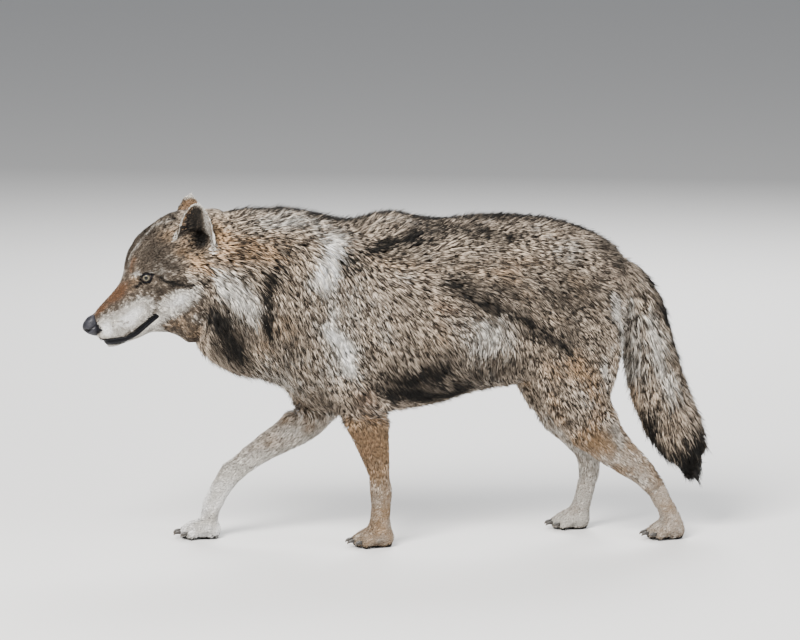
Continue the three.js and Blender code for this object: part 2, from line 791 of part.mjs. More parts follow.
function addHead() {
  const eyes = [-1, 1].map((sign) => onHead(EYE.forward, sign * EYE.side, EYE.up));
  const pad = noseField();
  const noseRoom = drawn((x, y, z) => pad(x, y, z) - FIT_GAP, ...ROOM.nose, CELL.nose);
  let solid = before(drawn(flesh, ...ROOM.head, CELL.head), CUTS.headFromNeck).subtract(noseRoom);
  eyes.forEach((centre) => {
    solid = solid.subtract(ball(centre, EYE.radius + FIT_GAP));
  });
  addNode("head", solid.subtract(belowMouth(CUT_GAP)), COAT.head);
  addNode("lower_jaw", solid.intersect(belowMouth(0)), COAT.jaw);
  addNode("nose", drawn(pad, ...ROOM.nose, CELL.nose), COAT.nose, 0.45);
  addNode("eye_left", ball(eyes[0], EYE.radius), COAT.eye, 0.1);
  addNode("eye_right", ball(eyes[1], EYE.radius), COAT.eye, 0.1);
  const skullRoom = drawn((x, y, z) => flesh(x, y, z) - 2 * FIT_GAP, ...ROOM.head, CELL.head);
  const earLeft = ear(-1).subtract(skullRoom);
  addNode("ear_left", earLeft, COAT.ear);
  addNode("ear_right", otherSide(earLeft), COAT.ear);
}

function addTrunk() {
  const neck = drawn(flesh, ...ROOM.neck, CELL.neck);
  addNode("neck", behind(before(neck, CUTS.neckFromTrunk), CUTS.headFromNeck), COAT.neck);
  const solid = drawn(flesh, ...ROOM.trunk, CELL.trunk);
  const uncut = behind(before(solid, CUTS.trunkFromHindlegs), CUTS.neckFromTrunk);
  addNode("trunk", before(uncut, CUTS.trunkFromForelegs), COAT.back);
}

// The box in which one side's leg is drawn, up to the given height.
function roomOfLeg(leg, side, height) {
  const xs = leg.stations.map((station) => station.at[0]);
  const [inner, outer] = side === "left" ? [-130, 0] : [0, 130];
  return [
    [Math.min(...xs) - 110, inner, 40],
    [Math.max(...xs) + 90, outer, height],
  ];
}

function addForeleg(side) {
  const leg = LEGS[`foreleg_${side}`];
  const colour = side === "left" ? COAT.leg : COAT.pale;
  const wrist = acrossLeg(leg, WRIST);
  const drawnLeg = drawn(flesh, ...roomOfLeg(leg, side, 300), CELL.leg);
  addNode(`foreleg_${side}`, before(behind(drawnLeg, CUTS.trunkFromForelegs), wrist), colour);
  addPaw(`forepaw_${side}`, leg, wrist, colour);
}

// The hindquarters are drawn in one piece. Where the tail is fitted to them, they are grown or moved back.
function hindquarters(grow, back = 0) {
  const [low, high] = ROOM.hindquarters;
  const moved = ([x, y, z]) => [x + back, y, z];
  return drawn((x, y, z) => flesh(x - back, y, z) - grow, moved(low), moved(high), CELL.thigh);
}

function addHindleg(side) {
  const leg = LEGS[`hindleg_${side}`];
  const half = side === "left" ? before : behind;
  const knee = acrossLeg(leg, KNEE);
  const hock = acrossLeg(leg, HOCK);
  const thigh = behind(half(hindquarters(0), CUTS.leftFromRight), CUTS.trunkFromHindlegs);
  addNode(`thigh_${side}`, before(thigh, knee), COAT.back);
  const drawnLeg = drawn(flesh, ...roomOfLeg(leg, side, 320), CELL.leg);
  addNode(`hindleg_${side}`, before(behind(drawnLeg, knee), hock), COAT.leg);
  addPaw(`hindpaw_${side}`, leg, hock, COAT.leg);
}

// A paw with the joint above it, its toes and its flat sole, and the four claws.
function addPaw(name, leg, joint, colour) {
  const { at, length, width } = leg.paw;
  const top = leg.stations.at(-3).at;
  const low = [at[0] - length, at[1] - width, -30];
  const high = [Math.max(at[0] + length * 0.7, top[0] + 70), at[1] + width, 175];
  const floor = { normal: [0, 0, 1], through: [0, 0, -CUT_GAP / 2] };
  let paw = behind(drawn(flesh, low, high, CELL.paw), joint);
  TOES.forEach((toe) => {
    paw = paw.add(toeOf(leg.paw, toe));
  });
  addNode(name, before(paw, floor), colour);
  TOES.forEach((toe, i) => addNode(`claw_${name}_${i + 1}`, clawOf(leg.paw, toe), COAT.claw, 0.5));
}

// The tail's root is fitted round the thighs: clear of their curve, and clear of their facets.
function addTail() {
  const body = drawn(tail, ...ROOM.tail, CELL.tail);
  const fitted = body.subtract(hindquarters(2 * FIT_GAP)).subtract(hindquarters(0, FIT_GAP));
  addNode("tail", fitted, COAT.tail);
}

// Moves the nodes so that the origin is below the middle of the wolf, on the floor.
function centred(group) {
  const box = new THREE.Box3().setFromObject(group);
  const middle = box.getCenter(new THREE.Vector3());
  group.children.forEach((node) => node.geometry.translate(-middle.x, -middle.y, -box.min.z));
}

addHead();
addTrunk();
addForeleg("left");
addForeleg("right");
addHindleg("left");
addHindleg("right");
addTail();
centred(wolf);

export default wolf;
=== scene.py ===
"""The looks of a life-size grey wolf in mid-stride: skin, coat, eyes, nose, claws and a plain stage."""

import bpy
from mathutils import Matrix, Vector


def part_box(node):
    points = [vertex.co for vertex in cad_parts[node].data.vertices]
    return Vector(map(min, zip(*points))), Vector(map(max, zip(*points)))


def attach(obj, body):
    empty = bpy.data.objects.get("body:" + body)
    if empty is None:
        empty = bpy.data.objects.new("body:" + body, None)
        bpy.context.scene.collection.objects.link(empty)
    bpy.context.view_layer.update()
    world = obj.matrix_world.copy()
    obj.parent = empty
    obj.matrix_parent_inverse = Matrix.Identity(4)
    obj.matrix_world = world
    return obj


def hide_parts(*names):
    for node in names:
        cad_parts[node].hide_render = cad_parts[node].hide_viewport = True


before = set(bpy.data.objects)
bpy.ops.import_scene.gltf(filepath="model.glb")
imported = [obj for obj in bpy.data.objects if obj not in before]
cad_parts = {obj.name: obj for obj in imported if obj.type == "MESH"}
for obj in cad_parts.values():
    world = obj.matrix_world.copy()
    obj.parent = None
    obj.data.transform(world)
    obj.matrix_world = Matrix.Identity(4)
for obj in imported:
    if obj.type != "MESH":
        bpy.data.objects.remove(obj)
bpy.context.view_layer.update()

import math

import bmesh
import bpy
import numpy as np
from bpy.props import FloatProperty, FloatVectorProperty, IntProperty, PointerProperty
from mathutils import Vector
from mathutils.bvhtree import BVHTree
from mathutils.kdtree import KDTree

bl_info = {
    "name": "Grey wolf",
    "version": (1, 0, 0),
    "blender": (4, 5, 0),
    "location": "3D View > Sidebar > Wolf",
    "description": "Builds the skin, the coat, the eyes, the nose and the claws of a grey wolf",
    "category": "Object",
}

MM = 0.001

# ------------------------------------------------------------------ what the wolf is made of

SIDES = ("left", "right")
PAWS = ("forepaw", "hindpaw")
TOES = range(1, 5)
FLESH = ["head", "lower_jaw", "neck", "trunk", "tail", "ear_left", "ear_right"]
LEG_PARTS = ("foreleg", "forepaw", "thigh", "hindleg", "hindpaw")
FLESH += [f"{part}_{side}" for part in LEG_PARTS for side in SIDES]
LOWER_LEGS = [node for node in FLESH if "leg_" in node or "paw_" in node]
SET_IN = ("eye_left", "eye_right", "nose")  # the skin is drawn round these too, and then passes under them
CLAWS = [f"claw_{paw}_{side}_{toe}" for paw in PAWS for side in SIDES for toe in TOES]

# Coat by kind of node, in millimetres: its depth, and the length and width of a lock. Then the locks per
# square centimetre, and how far the facets of the solids are evened out.
COAT = {
    "trunk": (18, 27, 2.4, 20, 1.0),
    "neck": (21, 34, 2.5, 20, 1.0),
    "tail": (20, 38, 2.5, 20, 0.6),
    "thigh": (13, 23, 2.3, 20, 0.6),
    "foreleg": (4.5, 14, 1.7, 16, 0.16),
    "hindleg": (4.5, 15, 1.7, 16, 0.16),
    "forepaw": (2.2, 10, 1.6, 18, 0.04),
    "hindpaw": (2.2, 10, 1.6, 18, 0.04),
    "head": (7, 17, 2.2, 18, 0.12),
    "lower_jaw": (2.2, 7, 1.4, 26, 0.06),
    "ear": (1.6, 5, 1.2, 30, 0.05),
}
# What parts of the head add to the head's depth, length, width and number of locks.
HEAD_COAT = {
    "face": (-3.0, -7, -0.5, 8),
    "cheek": (8, 16, 0.9, -4),
    "muzzle": (-1.7, -4.5, -0.5, 16),
    "bed of the nose": (2.5, 0, 0, 0),
}
HEAD_BASE_SIZES = 4  # how many of a coat's values differ from place to place on the head

# The head's own axes: forward to the nose, up through the forehead.
HEAD_PITCH = math.radians(35.2)
HEAD_CENTRE = np.array([-408.75, 0.0, 577.0])
FORWARD = np.array([-math.cos(HEAD_PITCH), 0.0, -math.sin(HEAD_PITCH)])
UP = np.array([-math.sin(HEAD_PITCH), 0.0, math.cos(HEAD_PITCH)])

# The lie of the coat: place, direction and reach in millimetres. Places with a side are mirrored.
LIE = {
    "bridge of the nose": (-580, 0, 480, 0.82, 0, 0.57, 40),
    "side of the muzzle": (-540, 30, 462, 0.95, 0.1, 0.15, 36),
    "upper lip": (-545, 28, 432, 0.9, 0, -0.2, 30),
    "chin": (-530, 0, 405, 0.95, 0, -0.05, 40),
    "below the eye": (-480, 50, 500, 0.9, 0.2, -0.2, 36),
    "brow": (-512, 28, 562, 0.6, 0.15, 0.75, 30),
    "forehead": (-500, 0, 612, 0.75, 0, 0.65, 42),
    "crown": (-440, 0, 655, 0.98, 0, 0.15, 45),
    "temple": (-445, 62, 570, 0.9, 0.3, 0.05, 40),
    "cheek": (-435, 85, 490, 0.8, 0.2, -0.55, 45),
    "jowl": (-445, 62, 430, 0.7, 0.1, -0.7, 42),
    "throat": (-420, 0, 390, 0.75, 0, -0.65, 45),
    "front of the ear": (-428, 52, 606, 0.5, 0.2, 0.8, 24),
    "ear": (-401, 72, 648, 0.02, 0.15, 0.98, 34),
    "behind the ear": (-366, 62, 610, 0.75, 0.1, 0.1, 30),
    "nape": (-340, 0, 655, 1, 0, 0, 60),
    "side of the neck": (-320, 95, 565, 0.85, 0, -0.5, 60),
    "lower neck": (-320, 90, 470, 0.3, 0, -0.95, 62),
    "front of the neck": (-370, 0, 355, 0.7, 0, -0.7, 70),
    "chest": (-270, 40, 330, 0.6, 0, -0.8, 62),
    "breastbone": (-190, 0, 275, 0.95, 0, -0.3, 70),
    "withers": (-170, 0, 650, 1, 0, 0.2, 60),
    "shoulder": (-160, 100, 545, 0.4, 0, -0.9, 66),
    "upper arm": (-135, 100, 425, 0.35, 0, -0.93, 75),
    "elbow": (-95, 90, 330, 0.6, 0, -0.8, 60),
    "back": (60, 0, 640, 1, 0, 0.2, 90),
    "along the back": (20, 70, 605, 0.85, 0, 0.4, 45),
    "upper ribs": (60, 110, 555, 0.98, 0, -0.1, 70),
    "ribs behind the elbow": (-10, 115, 480, 0.55, 0, -0.83, 62),
    "ribs": (110, 115, 480, 0.85, 0, -0.5, 62),
    "lower ribs": (40, 100, 360, 0.5, 0, -0.86, 75),
    "belly": (60, 0, 262, 1, 0, -0.05, 90),
    "loin": (230, 80, 565, 0.96, 0, -0.28, 80),
    "flank": (235, 95, 450, 0.6, 0, -0.8, 60),
    "fold of the flank": (165, 80, 385, -0.35, 0, -0.94, 52),
    "croup": (330, 0, 622, 0.97, 0, -0.22, 60),
    "rump": (392, 60, 560, 0.78, 0, -0.62, 50),
    "hip": (330, 95, 500, 0.8, 0, -0.6, 60),
    "thigh": (325, 100, 415, 0.6, 0, -0.8, 60),
    "front of the thigh": (272, 80, 345, 0.5, 0, -0.85, 45),
    "back of the thigh": (402, 60, 400, 0.3, 0, -0.95, 45),
    "breeches": (425, 40, 330, 0.15, 0, -0.98, 45),
}

# The middles of the legs and the tail, from the body outwards, along which their coats lie.
LIMBS = {
    "foreleg_left": [
        (-88, -70, 300), (-72, -69, 240), (-58, -68, 190), (-49, -67, 145), (-44, -67, 100), (-46, -68, 55)
    ],
    "foreleg_right": [
        (-160, 69, 270), (-188, 68, 218), (-238, 66, 188), (-286, 64, 157), (-320, 63, 131), (-343, 63, 100),
        (-366, 64, 55),
    ],
    "hindleg_left": [
        (345, -68, 290), (374, -68, 226), (420, -67, 176), (464, -66, 140), (494, -66, 108), (514, -66, 72),
        (530, -67, 40),
    ],
    "hindleg_right": [
        (308, 67, 290), (334, 67, 236), (366, 66, 190), (388, 65, 152), (389, 65, 112), (382, 65, 72),
        (372, 66, 40),
    ],
    "tail": [
        (430, 0, 540), (464, 0, 478), (486, 0, 420), (498, 0, 350), (518, 0, 280), (548, 0, 212),
        (574, 0, 158), (590, 0, 110),
    ],
    "forepaw_left": [(-50, -70, 44), (-78, -70, 34), (-104, -70, 10)],
    "forepaw_right": [(-370, 65, 44), (-398, 67, 34), (-426, 69, 10)],
    "hindpaw_left": [(528, -68, 40), (500, -69, 30), (476, -70, 8)],
    "hindpaw_right": [(368, 66, 40), (334, 66, 30), (310, 67, 8)],
}
LIMB_REACH = 42

# Markings, with a few places of painted shade: tone, place (mirrored), how far it reaches in X, Y and Z in
# millimetres, and how strong it is.
TONES = ("tan", "rust", "pale", "dark")
TAN, _, PALE, DARK = range(len(TONES))
MARKINGS_AND_SHADES = [
    ("tan", (-285, 95, 592), (95, 80, 40), 0.6),
    ("tan", (-345, 95, 590), (34, 60, 60), 0.7),
    ("tan", (392, 90, 320), (36, 50, 110), 0.45),
    ("tan", (180, 105, 545), (150, 60, 20), 0.4),
    ("tan", (540, 40, 300), (30, 60, 120), 0.4),
    ("tan", (-230, 60, 640), (120, 40, 24), 0.35),
    ("rust", (91, 110, 466), (34, 60, 28), 0.5),
    ("rust", (-63, 85, 285), (48, 60, 46), 0.6),
    ("rust", (-72, 70, 215), (44, 40, 80), 0.5),
    # Painted shade: the dark at the top of each foreleg, just beneath the trunk.
    ("dark", (-158, 69, 266), (44, 40, 32), 0.5),
    ("dark", (200, 90, 338), (34, 60, 36), 0.55),
    ("dark", (-148, 100, 343), (26, 60, 26), 0.4),
    ("dark", (-36, 95, 569), (24, 50, 14), 0.6),
    ("dark", (-225, 95, 389), (26, 60, 28), 0.4),
    ("dark", (-384, 60, 415), (26, 60, 22), 0.5),
    ("dark", (-380, 90, 525), (22, 60, 26), 0.35),
    ("pale", (322, 80, 564), (28, 60, 15), 0.4),
    ("rust", (425, 30, 525), (34, 70, 36), 0.5),
    ("rust", (-105, 105, 455), (60, 60, 40), 0.25),
    ("pale", (-318, 100, 482), (50, 60, 52), 0.85),
    ("pale", (-121, 105, 372), (52, 60, 66), 0.55),
    ("pale", (-235, 60, 305), (60, 70, 34), 0.5),
    ("pale", (172, 100, 392), (56, 70, 66), 0.65),
    ("pale", (150, 60, 310), (60, 80, 40), 0.5),
    ("pale", (395, 80, 300), (34, 60, 90), 0.6),
    ("pale", (-205, 50, 636), (90, 60, 26), 0.66),
    ("pale", (-20, 60, 640), (46, 70, 18), 0.4),
    ("dark", (322, 90, 490), (80, 60, 70), 0.5),
    ("dark", (318, 90, 400), (60, 60, 56), 0.5),
    ("pale", (-104, 100, 462), (70, 60, 80), 0.38),
    ("dark", (584, 0, 120), (60, 60, 44), 0.97),
    # The dark in the ear's hollow: partly its own dark inside and partly painted shade.
    ("dark", (-391, 76, 606), (15, 26, 17), 0.85),
    ("dark", (-422, 60, 614), (17, 24, 24), 0.7),
    ("tan", (-357, 80, 622), (20, 50, 34), 0.8),
    ("dark", (-366, 95, 480), (12, 50, 34), 0.5),
]
LEG_TONES = {  # how tan and how pale each leg is at its top, and at its paw
    "fore_left": (0.95, 0.1, 0.85, 0.34),
    "fore_right": (0.5, 0.46, 0.1, 0.95),
    "hind_left": (0.95, 0.4, 0.9, 0.46),
    "hind_right": (0.5, 0.5, 0.5, 0.66),
}

# Stripes seen from the side, a few of them painted shade: tone, the line's X and Z in millimetres, half of
# its width, and its strength.
STRIPES_AND_SHADES = [
    ("pale", [(-126, 600), (-128, 563), (-158, 520)], 24, 1.0),
    ("pale", [(-158, 520), (-138, 465), (-150, 424)], 20, 0.55),
    ("pale", [(-350, 520), (-330, 492), (-296, 455)], 24, 0.9),
    ("pale", [(414, 471), (430, 410), (446, 350), (464, 300)], 18, 0.75),
    ("pale", [(396, 345), (394, 300), (386, 250)], 14, 0.8),
    ("pale", [(-152, 424), (-114, 389), (-104, 345)], 24, 0.95),
    ("pale", [(497, 420), (512, 345), (536, 270)], 24, 0.66),
    ("pale", [(455, 460), (459, 400), (463, 340)], 13, 0.5),
    ("pale", [(352, 300), (388, 247), (428, 196)], 22, 0.6),
    ("tan", [(-350, 612), (-302, 584), (-225, 572)], 22, 0.5),
    ("tan", [(-60, 560), (40, 548), (130, 540)], 14, 0.35),
    ("tan", [(340, 345), (385, 290), (386, 250), (372, 200)], 34, 0.6),
    ("tan", [(430, 340), (448, 275), (452, 200)], 26, 0.36),
    ("dark", [(395, 585), (420, 565), (449, 531)], 16, 0.5),
    ("dark", [(-226, 584), (-244, 560), (-258, 526), (-264, 495), (-266, 452), (-262, 410)], 9, 0.97),
    ("dark", [(-205, 520), (-202, 494), (-196, 468)], 7, 0.6),
    ("dark", [(-109, 546), (-93, 560), (-74, 575), (-47, 592), (-16, 605), (30, 612)], 11, 0.97),
    ("dark", [(20, 614), (90, 618), (160, 612), (240, 596)], 18, 0.5),
    ("dark", [(60, 545), (134, 552), (186, 548)], 9, 0.4),
    ("dark", [(140, 510), (196, 500), (244, 478)], 17, 0.45),
    ("dark", [(94, 521), (133, 489), (191, 461), (230, 436), (261, 413), (310, 374)], 16, 0.7),
    ("dark", [(262, 430), (240, 396), (216, 358)], 8, 0.5),
    # Painted shade: the next two dark stripes darken the underside of the belly.
    ("dark", [(-24, 322), (47, 306), (125, 316), (170, 330)], 34, 0.5),
    ("dark", [(-30, 298), (47, 284), (120, 292)], 20, 0.9),
    ("dark", [(10, 378), (60, 372), (108, 370)], 17, 0.4),
    ("dark", [(150, 332), (205, 338), (236, 346)], 15, 0.5),
    ("dark", [(-12, 300), (28, 322), (84, 338)], 24, 0.85),
    ("dark", [(-366, 456), (-342, 420), (-316, 374)], 30, 0.78),
    # Painted shade: a dark line below the chest, along the elbow.
    ("dark", [(-239, 366), (-206, 332), (-150, 294)], 9, 0.45),
    ("dark", [(388, 534), (403, 494), (410, 450), (412, 410)], 7, 0.75),
    ("dark", [(478, 560), (510, 505), (534, 445), (552, 385), (574, 320)], 17, 0.85),
    ("dark", [(484, 232), (504, 176), (524, 136)], 11, 0.8),
    ("dark", [(528, 128), (560, 134), (590, 150), (606, 180)], 26, 0.95),
]
# The black line along the spine: half of its width, its strength, the Z below which it fades, and how soon.
SPINE = {"half": 24, "strength": 0.95, "foot": 600, "fade": 30}
PATCHES = {"tan": 0.42, "pale": 0.36, "dark": 0.34}  # faint blots all over: tone, and how strong they are
WANDER = ((30, 13, 31), (10, 6, 41))  # how markings stray: cell of the noise, how far, and the noise's number
HEAD_STEADY = 0.6  # by this share the head's markings stray less
JAW_PALE = 0.85  # how pale the lower jaw is under its other markings
EAR_TONES = {  # tan, rust, pale and dark
    "back": (0.75, 0.4, 0, 0),
    "rim": (0.3, 0, 0.85, 0),
    # The well's dark is partly the ear's own dark inside and partly painted shade in its hollow.
    "well": (0, 0, 0, 0.72),
    "lining": (0, 0, 0.5, 0.25),
}

# The same on the head and the jaw, in the head's own frame: forward and up, and the reach of both.
HEAD_MARKINGS = [
    ("tan", (10, 20), (36, 32), 0.75),
    ("tan", (20, 58), (26, 17), 0.9),
    ("tan", (-4, -10), (30, 26), 0.7),
    ("tan", (98, -86), (60, 16), 0.4),
    ("rust", (160, 18), (38, 16), 0.9),
    ("rust", (205, 12), (26, 10), 0.8),
    ("pale", (168, -34), (62, 26), 1.0),
    ("pale", (218, -28), (30, 28), 1.0),
    ("pale", (74, -58), (52, 25), 0.95),
    ("pale", (120, -70), (60, 16), 0.7),
    ("pale", (108, 33), (10, 6.5), 0.95),
    ("dark", (40, 50), (60, 34), 0.3),
    ("dark", (88, 72), (30, 18), 0.55),
    ("dark", (40, 84), (44, 18), 0.6),
    ("dark", (-16, 82), (44, 18), 0.6),
    ("dark", (50, 36), (56, 50), 0.5),
    ("dark", (96, -14), (26, 12), 0.4),
    ("dark", (60, 10), (34, 26), 0.55),
    ("dark", (58, -27), (30, 7), 0.7),
    ("dark", (104, -8), (18, 9), 0.35),
    ("dark", (98, -24), (10, 9), 0.6),
    ("dark", (108, 12), (10, 5), 0.8),
    ("pale", (56, 10), (34, 24), 0.36),
]
HEAD_STRIPES = [
    ("dark", [(78, 2), (67, -17), (53, -31), (36, -44), (22, -56), (12, -70)], 5, 0.85),
    ("dark", [(82, 6), (74, 2), (66, -4)], 2.4, 0.8),
    ("dark", [(118, -3), (106, -8), (96, -17), (89, -25)], 4, 0.45),
    ("dark", [(117, 55), (93, 76), (60, 88), (26, 92), (-7, 90), (-27, 84)], 9, 0.55),
    ("dark", [(58, 34), (46, 12), (38, -6)], 13, 0.5),
    ("pale", [(113, 33), (100, 27), (86, 21)], 4.2, 0.85),
    ("rust", [(114, 44), (104, 50), (90, 54)], 6, 0.6),
    ("tan", [(14, 18), (3, -10), (-5, -36)], 15, 0.6),
    ("tan", [(140, 10), (122, 22)], 11, 0.4),
    ("dark", [(107, 13), (116, 12), (128, 9)], 3.2, 0.9),
    ("pale", [(112, 51), (90, 68), (58, 80), (24, 84), (-8, 82)], 3.2, 0.5),
]

# Where the dark roots of the whiskers are, forward and up, and the radius and strength of each.
WHISKERS = [
    (201, -21), (193, -25), (185, -29), (203, -28), (194, -33), (185, -36), (177, -38), (201, -37), (193, -41)
]
WHISKER_ROOT = (1.7, 0.75)

# The closed mouth's line in the head's own frame: forward and up, from the corner to the chin.
MOUTH_LINE = [(127, -59), (150, -62), (175, -65), (199, -64), (222, -52), (240, -42)]
MOUTH_GROOVE = (2.2, 2.6)  # half of the width and the depth of the line
LIPS = (7.4, 5.2)  # from this far off the line the skin has hair, and within this it is bare
UPPER_LIP = 0.8  # how much thinner the upper lip is
FRONT_LIPS = 1.6  # how much thicker both lips are in front

EYE = {"forward": 95.5, "side": 37.5, "up": 12.5, "radius": 12.5}
EYE_AXIS = (0.26, 0.10, 0.95)  # forward, up and outward, the way the eye looks
SOCKET_AXIS = (0.40, 0.10, 0.91)  # the same for the lids' opening
EYE_CORNER = (-0.95, -0.16, 0.34)  # and from the inner corner of the lids to the outer one
EYE_OPENING = (11.5, 6.8)  # half the length and half the height of the lids' opening
# The lids: thickness, how much lower the upper one hangs, how deep the skin lies behind the eye's front,
# how far from the eye's middle they reach, and, in shares of the opening, where they join the face and where
# hair starts.
LIDS = {"thickness": 1.2, "hang": 1.22, "sunk": 2.5, "reach": 34, "face": (2.3, 1.25), "hair": (2.0, 1.35)}

EAR = {"base": (-399.8, 60, 591), "tip": (-400.8, 78, 679), "facing": (-0.46, 0.88, 0), "wide": 42}
EAR_WELL = {"middle": (-395, 74, 611), "reach": (23, 30, 26), "depth": 22}  # the ear's hollow sinks in here
EAR_FRINGE = (12, 1.1)  # how much longer the hair at the ear's front edge is, and how far it leans back
TOE_GROOVE = {"half": 2.6, "depth": 3.6, "length": 34}  # between two toes
TAIL_TUFT = {"below": 220, "over": 70, "longer": 14}  # below this Z the tail's locks grow longer
FLOOR_GAP = 0.4  # nothing comes nearer to the floor

WELD_OVERLAP = 1.3  # how far the solids grow into one another before one skin is drawn round them
PAW_TOP = 62  # the skin is finer below this Z
HEAD_REAR = -330  # the head ends in front of this X
SMOOTHING = 45  # rounds in which the facets of the solids are evened out
SMOOTHING_STEPS = (0.55, -0.57)  # each round draws the skin in by the first, and lets it out by the second

SQUARE_CENTIMETRE = 100  # in square millimetres
LOCKS_IN_CLUMP = 11
STRAY_SHARE = 0.12  # of the long locks stand out from the coat
SHORT_LOCK = (30, 8)  # a lock of the first length is a long one, and of the second a short one
LOCK_CORNERS = 3
LOCK_POINTS = LOCK_CORNERS + 2
LOCK_BEND = 0.42  # where along a lock it bends and is thickest
LOCK_FLATNESS = 0.44  # thickness of a lock as a share of its width
LOCK_ROOT = 1.2  # how deep a lock is set in the skin, at most
PIECE_LIMIT = 190000  # triangles
BAKE_PATCH = 0.003
BAKE_SPREAD = ((0, -0.5), (-0.5, 0), (0.5, 0), (0, 0.1), (0, 0.5))  # where a lock's points lie in its patch
BAKE_FIELDS = (4, 5)  # across and up the unwrap
BAKE_MARGIN = 0.04


# ------------------------------------------------------------------ settings


class WolfCoatSettings(bpy.types.PropertyGroup):
    voxel: FloatProperty(
        name="Skin cell", description="Size of the skin's cells", default=0.0041, min=0.002, unit="LENGTH"
    )
    fullness: FloatProperty(
        name="Fullness", description="Locks laid, as a share of the full coat", default=1.0, min=0.05, max=1.2
    )
    length: FloatProperty(
        name="Lock length", description="As a share of the usual length", default=1.0, min=0.3, max=2
    )
    clumping: FloatProperty(
        name="Clumping", description="How far neighbouring tips draw together", default=0.62, max=1
    )
    seed: IntProperty(name="Seed", description="Start of the random draws", default=7)


def colour(name, description, default):
    return FloatVectorProperty(
        name=name, description=description, subtype="COLOR", size=4, min=0, max=1, default=(*default, 1)
    )


class WolfColourSettings(bpy.types.PropertyGroup):
    # The root colour is partly the undercoat's own colour and partly painted shade deep in the coat.
    under: colour("Undercoat", "Colour at the root of a lock", (0.045, 0.034, 0.026))
    band: colour("Band", "Pale band in the middle of a lock", (0.46, 0.375, 0.285))
    tip: colour("Tip", "Dark tip of a grizzled lock", (0.009, 0.007, 0.006))
    tan: colour("Tan", "Ochre of the neck and the outer legs", (0.55, 0.35, 0.19))
    rust: colour("Rust", "Reddish brown of the muzzle's bridge and the ears", (0.21, 0.11, 0.06))
    pale: colour("Pale", "White of the cheeks and cream of the flanks", (0.80, 0.76, 0.69))
    # The dark colour also serves the painted shade under the belly, below the chest, beneath the trunk at the
    # forelegs and in the ears' hollows.
    dark: colour("Dark", "Black of the markings", (0.012, 0.011, 0.010))
    leather: colour("Nose", "Bare skin of the nose and the lips", (0.012, 0.012, 0.016))
    iris: colour("Iris", "Colour of the eye", (0.092, 0.082, 0.056))
    claw: colour("Claw", "Colour of the horn", (0.030, 0.026, 0.022))


class WolfStageSettings(bpy.types.PropertyGroup):
    azimuth: FloatProperty(
        name="Azimuth", description="Camera's turn round the wolf", default=math.radians(-8), subtype="ANGLE"
    )
    elevation: FloatProperty(
        name="Elevation", description="Camera's angle to the floor", default=math.radians(8), subtype="ANGLE"
    )
    distance: FloatProperty(name="Distance", description="From camera to wolf", default=9, unit="LENGTH")
    key: FloatProperty(name="Key light", description="Power of the main light", default=990, subtype="POWER")
    sky: FloatProperty(name="Sky", description="Strength of the surroundings", default=0.36)


def settings():
    scene = bpy.context.scene
    return scene.wolf_coat, scene.wolf_colours, scene.wolf_stage


# ------------------------------------------------------------------ small geometry


def smooth_step(low, high, value):
    t = np.clip((np.asarray(value, float) - low) / (high - low), 0, 1)
    return t * t * (3 - 2 * t)


def unit(rows):
    rows = np.asarray(rows, float)
    return rows / np.maximum(np.linalg.norm(rows, axis=-1, keepdims=True), 1e-9)


def on_head(forward, side, up):
    """A place in the head's own frame, in millimetres, as a place in the model's frame."""
    return HEAD_CENTRE + forward * FORWARD + up * UP + np.array([0.0, side, 0.0])


def in_head(places):
    """Forward, outward and up in the head's own frame, for places in millimetres."""
    offset = places - HEAD_CENTRE
    return offset @ FORWARD, np.abs(offset[:, 1]), offset @ UP


def looking(axis, side):
    """A direction given in the head's own frame, on one side of the head."""
    return unit(axis[0] * FORWARD + axis[1] * UP + np.array([0, side * axis[2], 0]))


def value_noise(places, cell, seed):
    """Smooth noise from -1 to 1 over places, with the given cell size."""
    p = places / cell + 1000.0 + 17.3 * seed
    low = np.floor(p).astype(np.int64)
    t = p - low
    t = t * t * (3 - 2 * t)
    total = np.zeros(len(places))
    for corner in range(8):
        step = np.array([corner & 1, (corner >> 1) & 1, (corner >> 2) & 1])
        mixed = (low + step) * np.array([73856093, 19349663, 83492791])
        mixed = mixed[:, 0] ^ mixed[:, 1] ^ mixed[:, 2] ^ (seed * 2654435761)
        mixed = (mixed ^ (mixed >> 13)) * 1274126177
        value = ((mixed ^ (mixed >> 16)) & 0xFFFF) / 32767.5 - 1
        total += value * np.prod(np.where(step == 1, t, 1 - t), axis=1)
    return total


def mesh_from(name, verts, faces, smooth=True):
    """A mesh of equal-sided faces, given as rows of vertex numbers."""
    mesh = bpy.data.meshes.new(name)
    faces = np.asarray(faces, np.int32)
    sides = faces.shape[1]
    mesh.vertices.add(len(verts))
    mesh.vertices.foreach_set("co", np.asarray(verts, np.float32).ravel())
    mesh.loops.add(faces.size)
    mesh.loops.foreach_set("vertex_index", faces.ravel())
    mesh.polygons.add(len(faces))
    mesh.polygons.foreach_set("loop_start", np.arange(0, faces.size, sides, dtype=np.int32))
    mesh.update(calc_edges=True)
    if smooth:
        mesh.shade_smooth()
    else:
        mesh.shade_flat()
    return mesh


def add_object(name, mesh, material=None):
    obj = bpy.data.objects.new(name, mesh)
    bpy.context.scene.collection.objects.link(obj)
    if material:
        obj.data.materials.append(material)
    return obj


def coordinates(mesh):
    out = np.zeros(len(mesh.vertices) * 3, np.float32)
    mesh.vertices.foreach_get("co", out)
    return out.reshape(-1, 3).astype(float)


def reshape(mesh, places):
    """Moves the mesh's vertices to the places, given in millimetres."""
    mesh.vertices.foreach_set("co", (places * MM).astype(np.float32).ravel())
    mesh.shade_smooth()


def triangles_of(mesh):
    mesh.calc_loop_triangles()
    out = np.zeros(len(mesh.loop_triangles) * 3, np.int32)
    mesh.loop_triangles.foreach_get("vertices", out)
    return out.reshape(-1, 3)


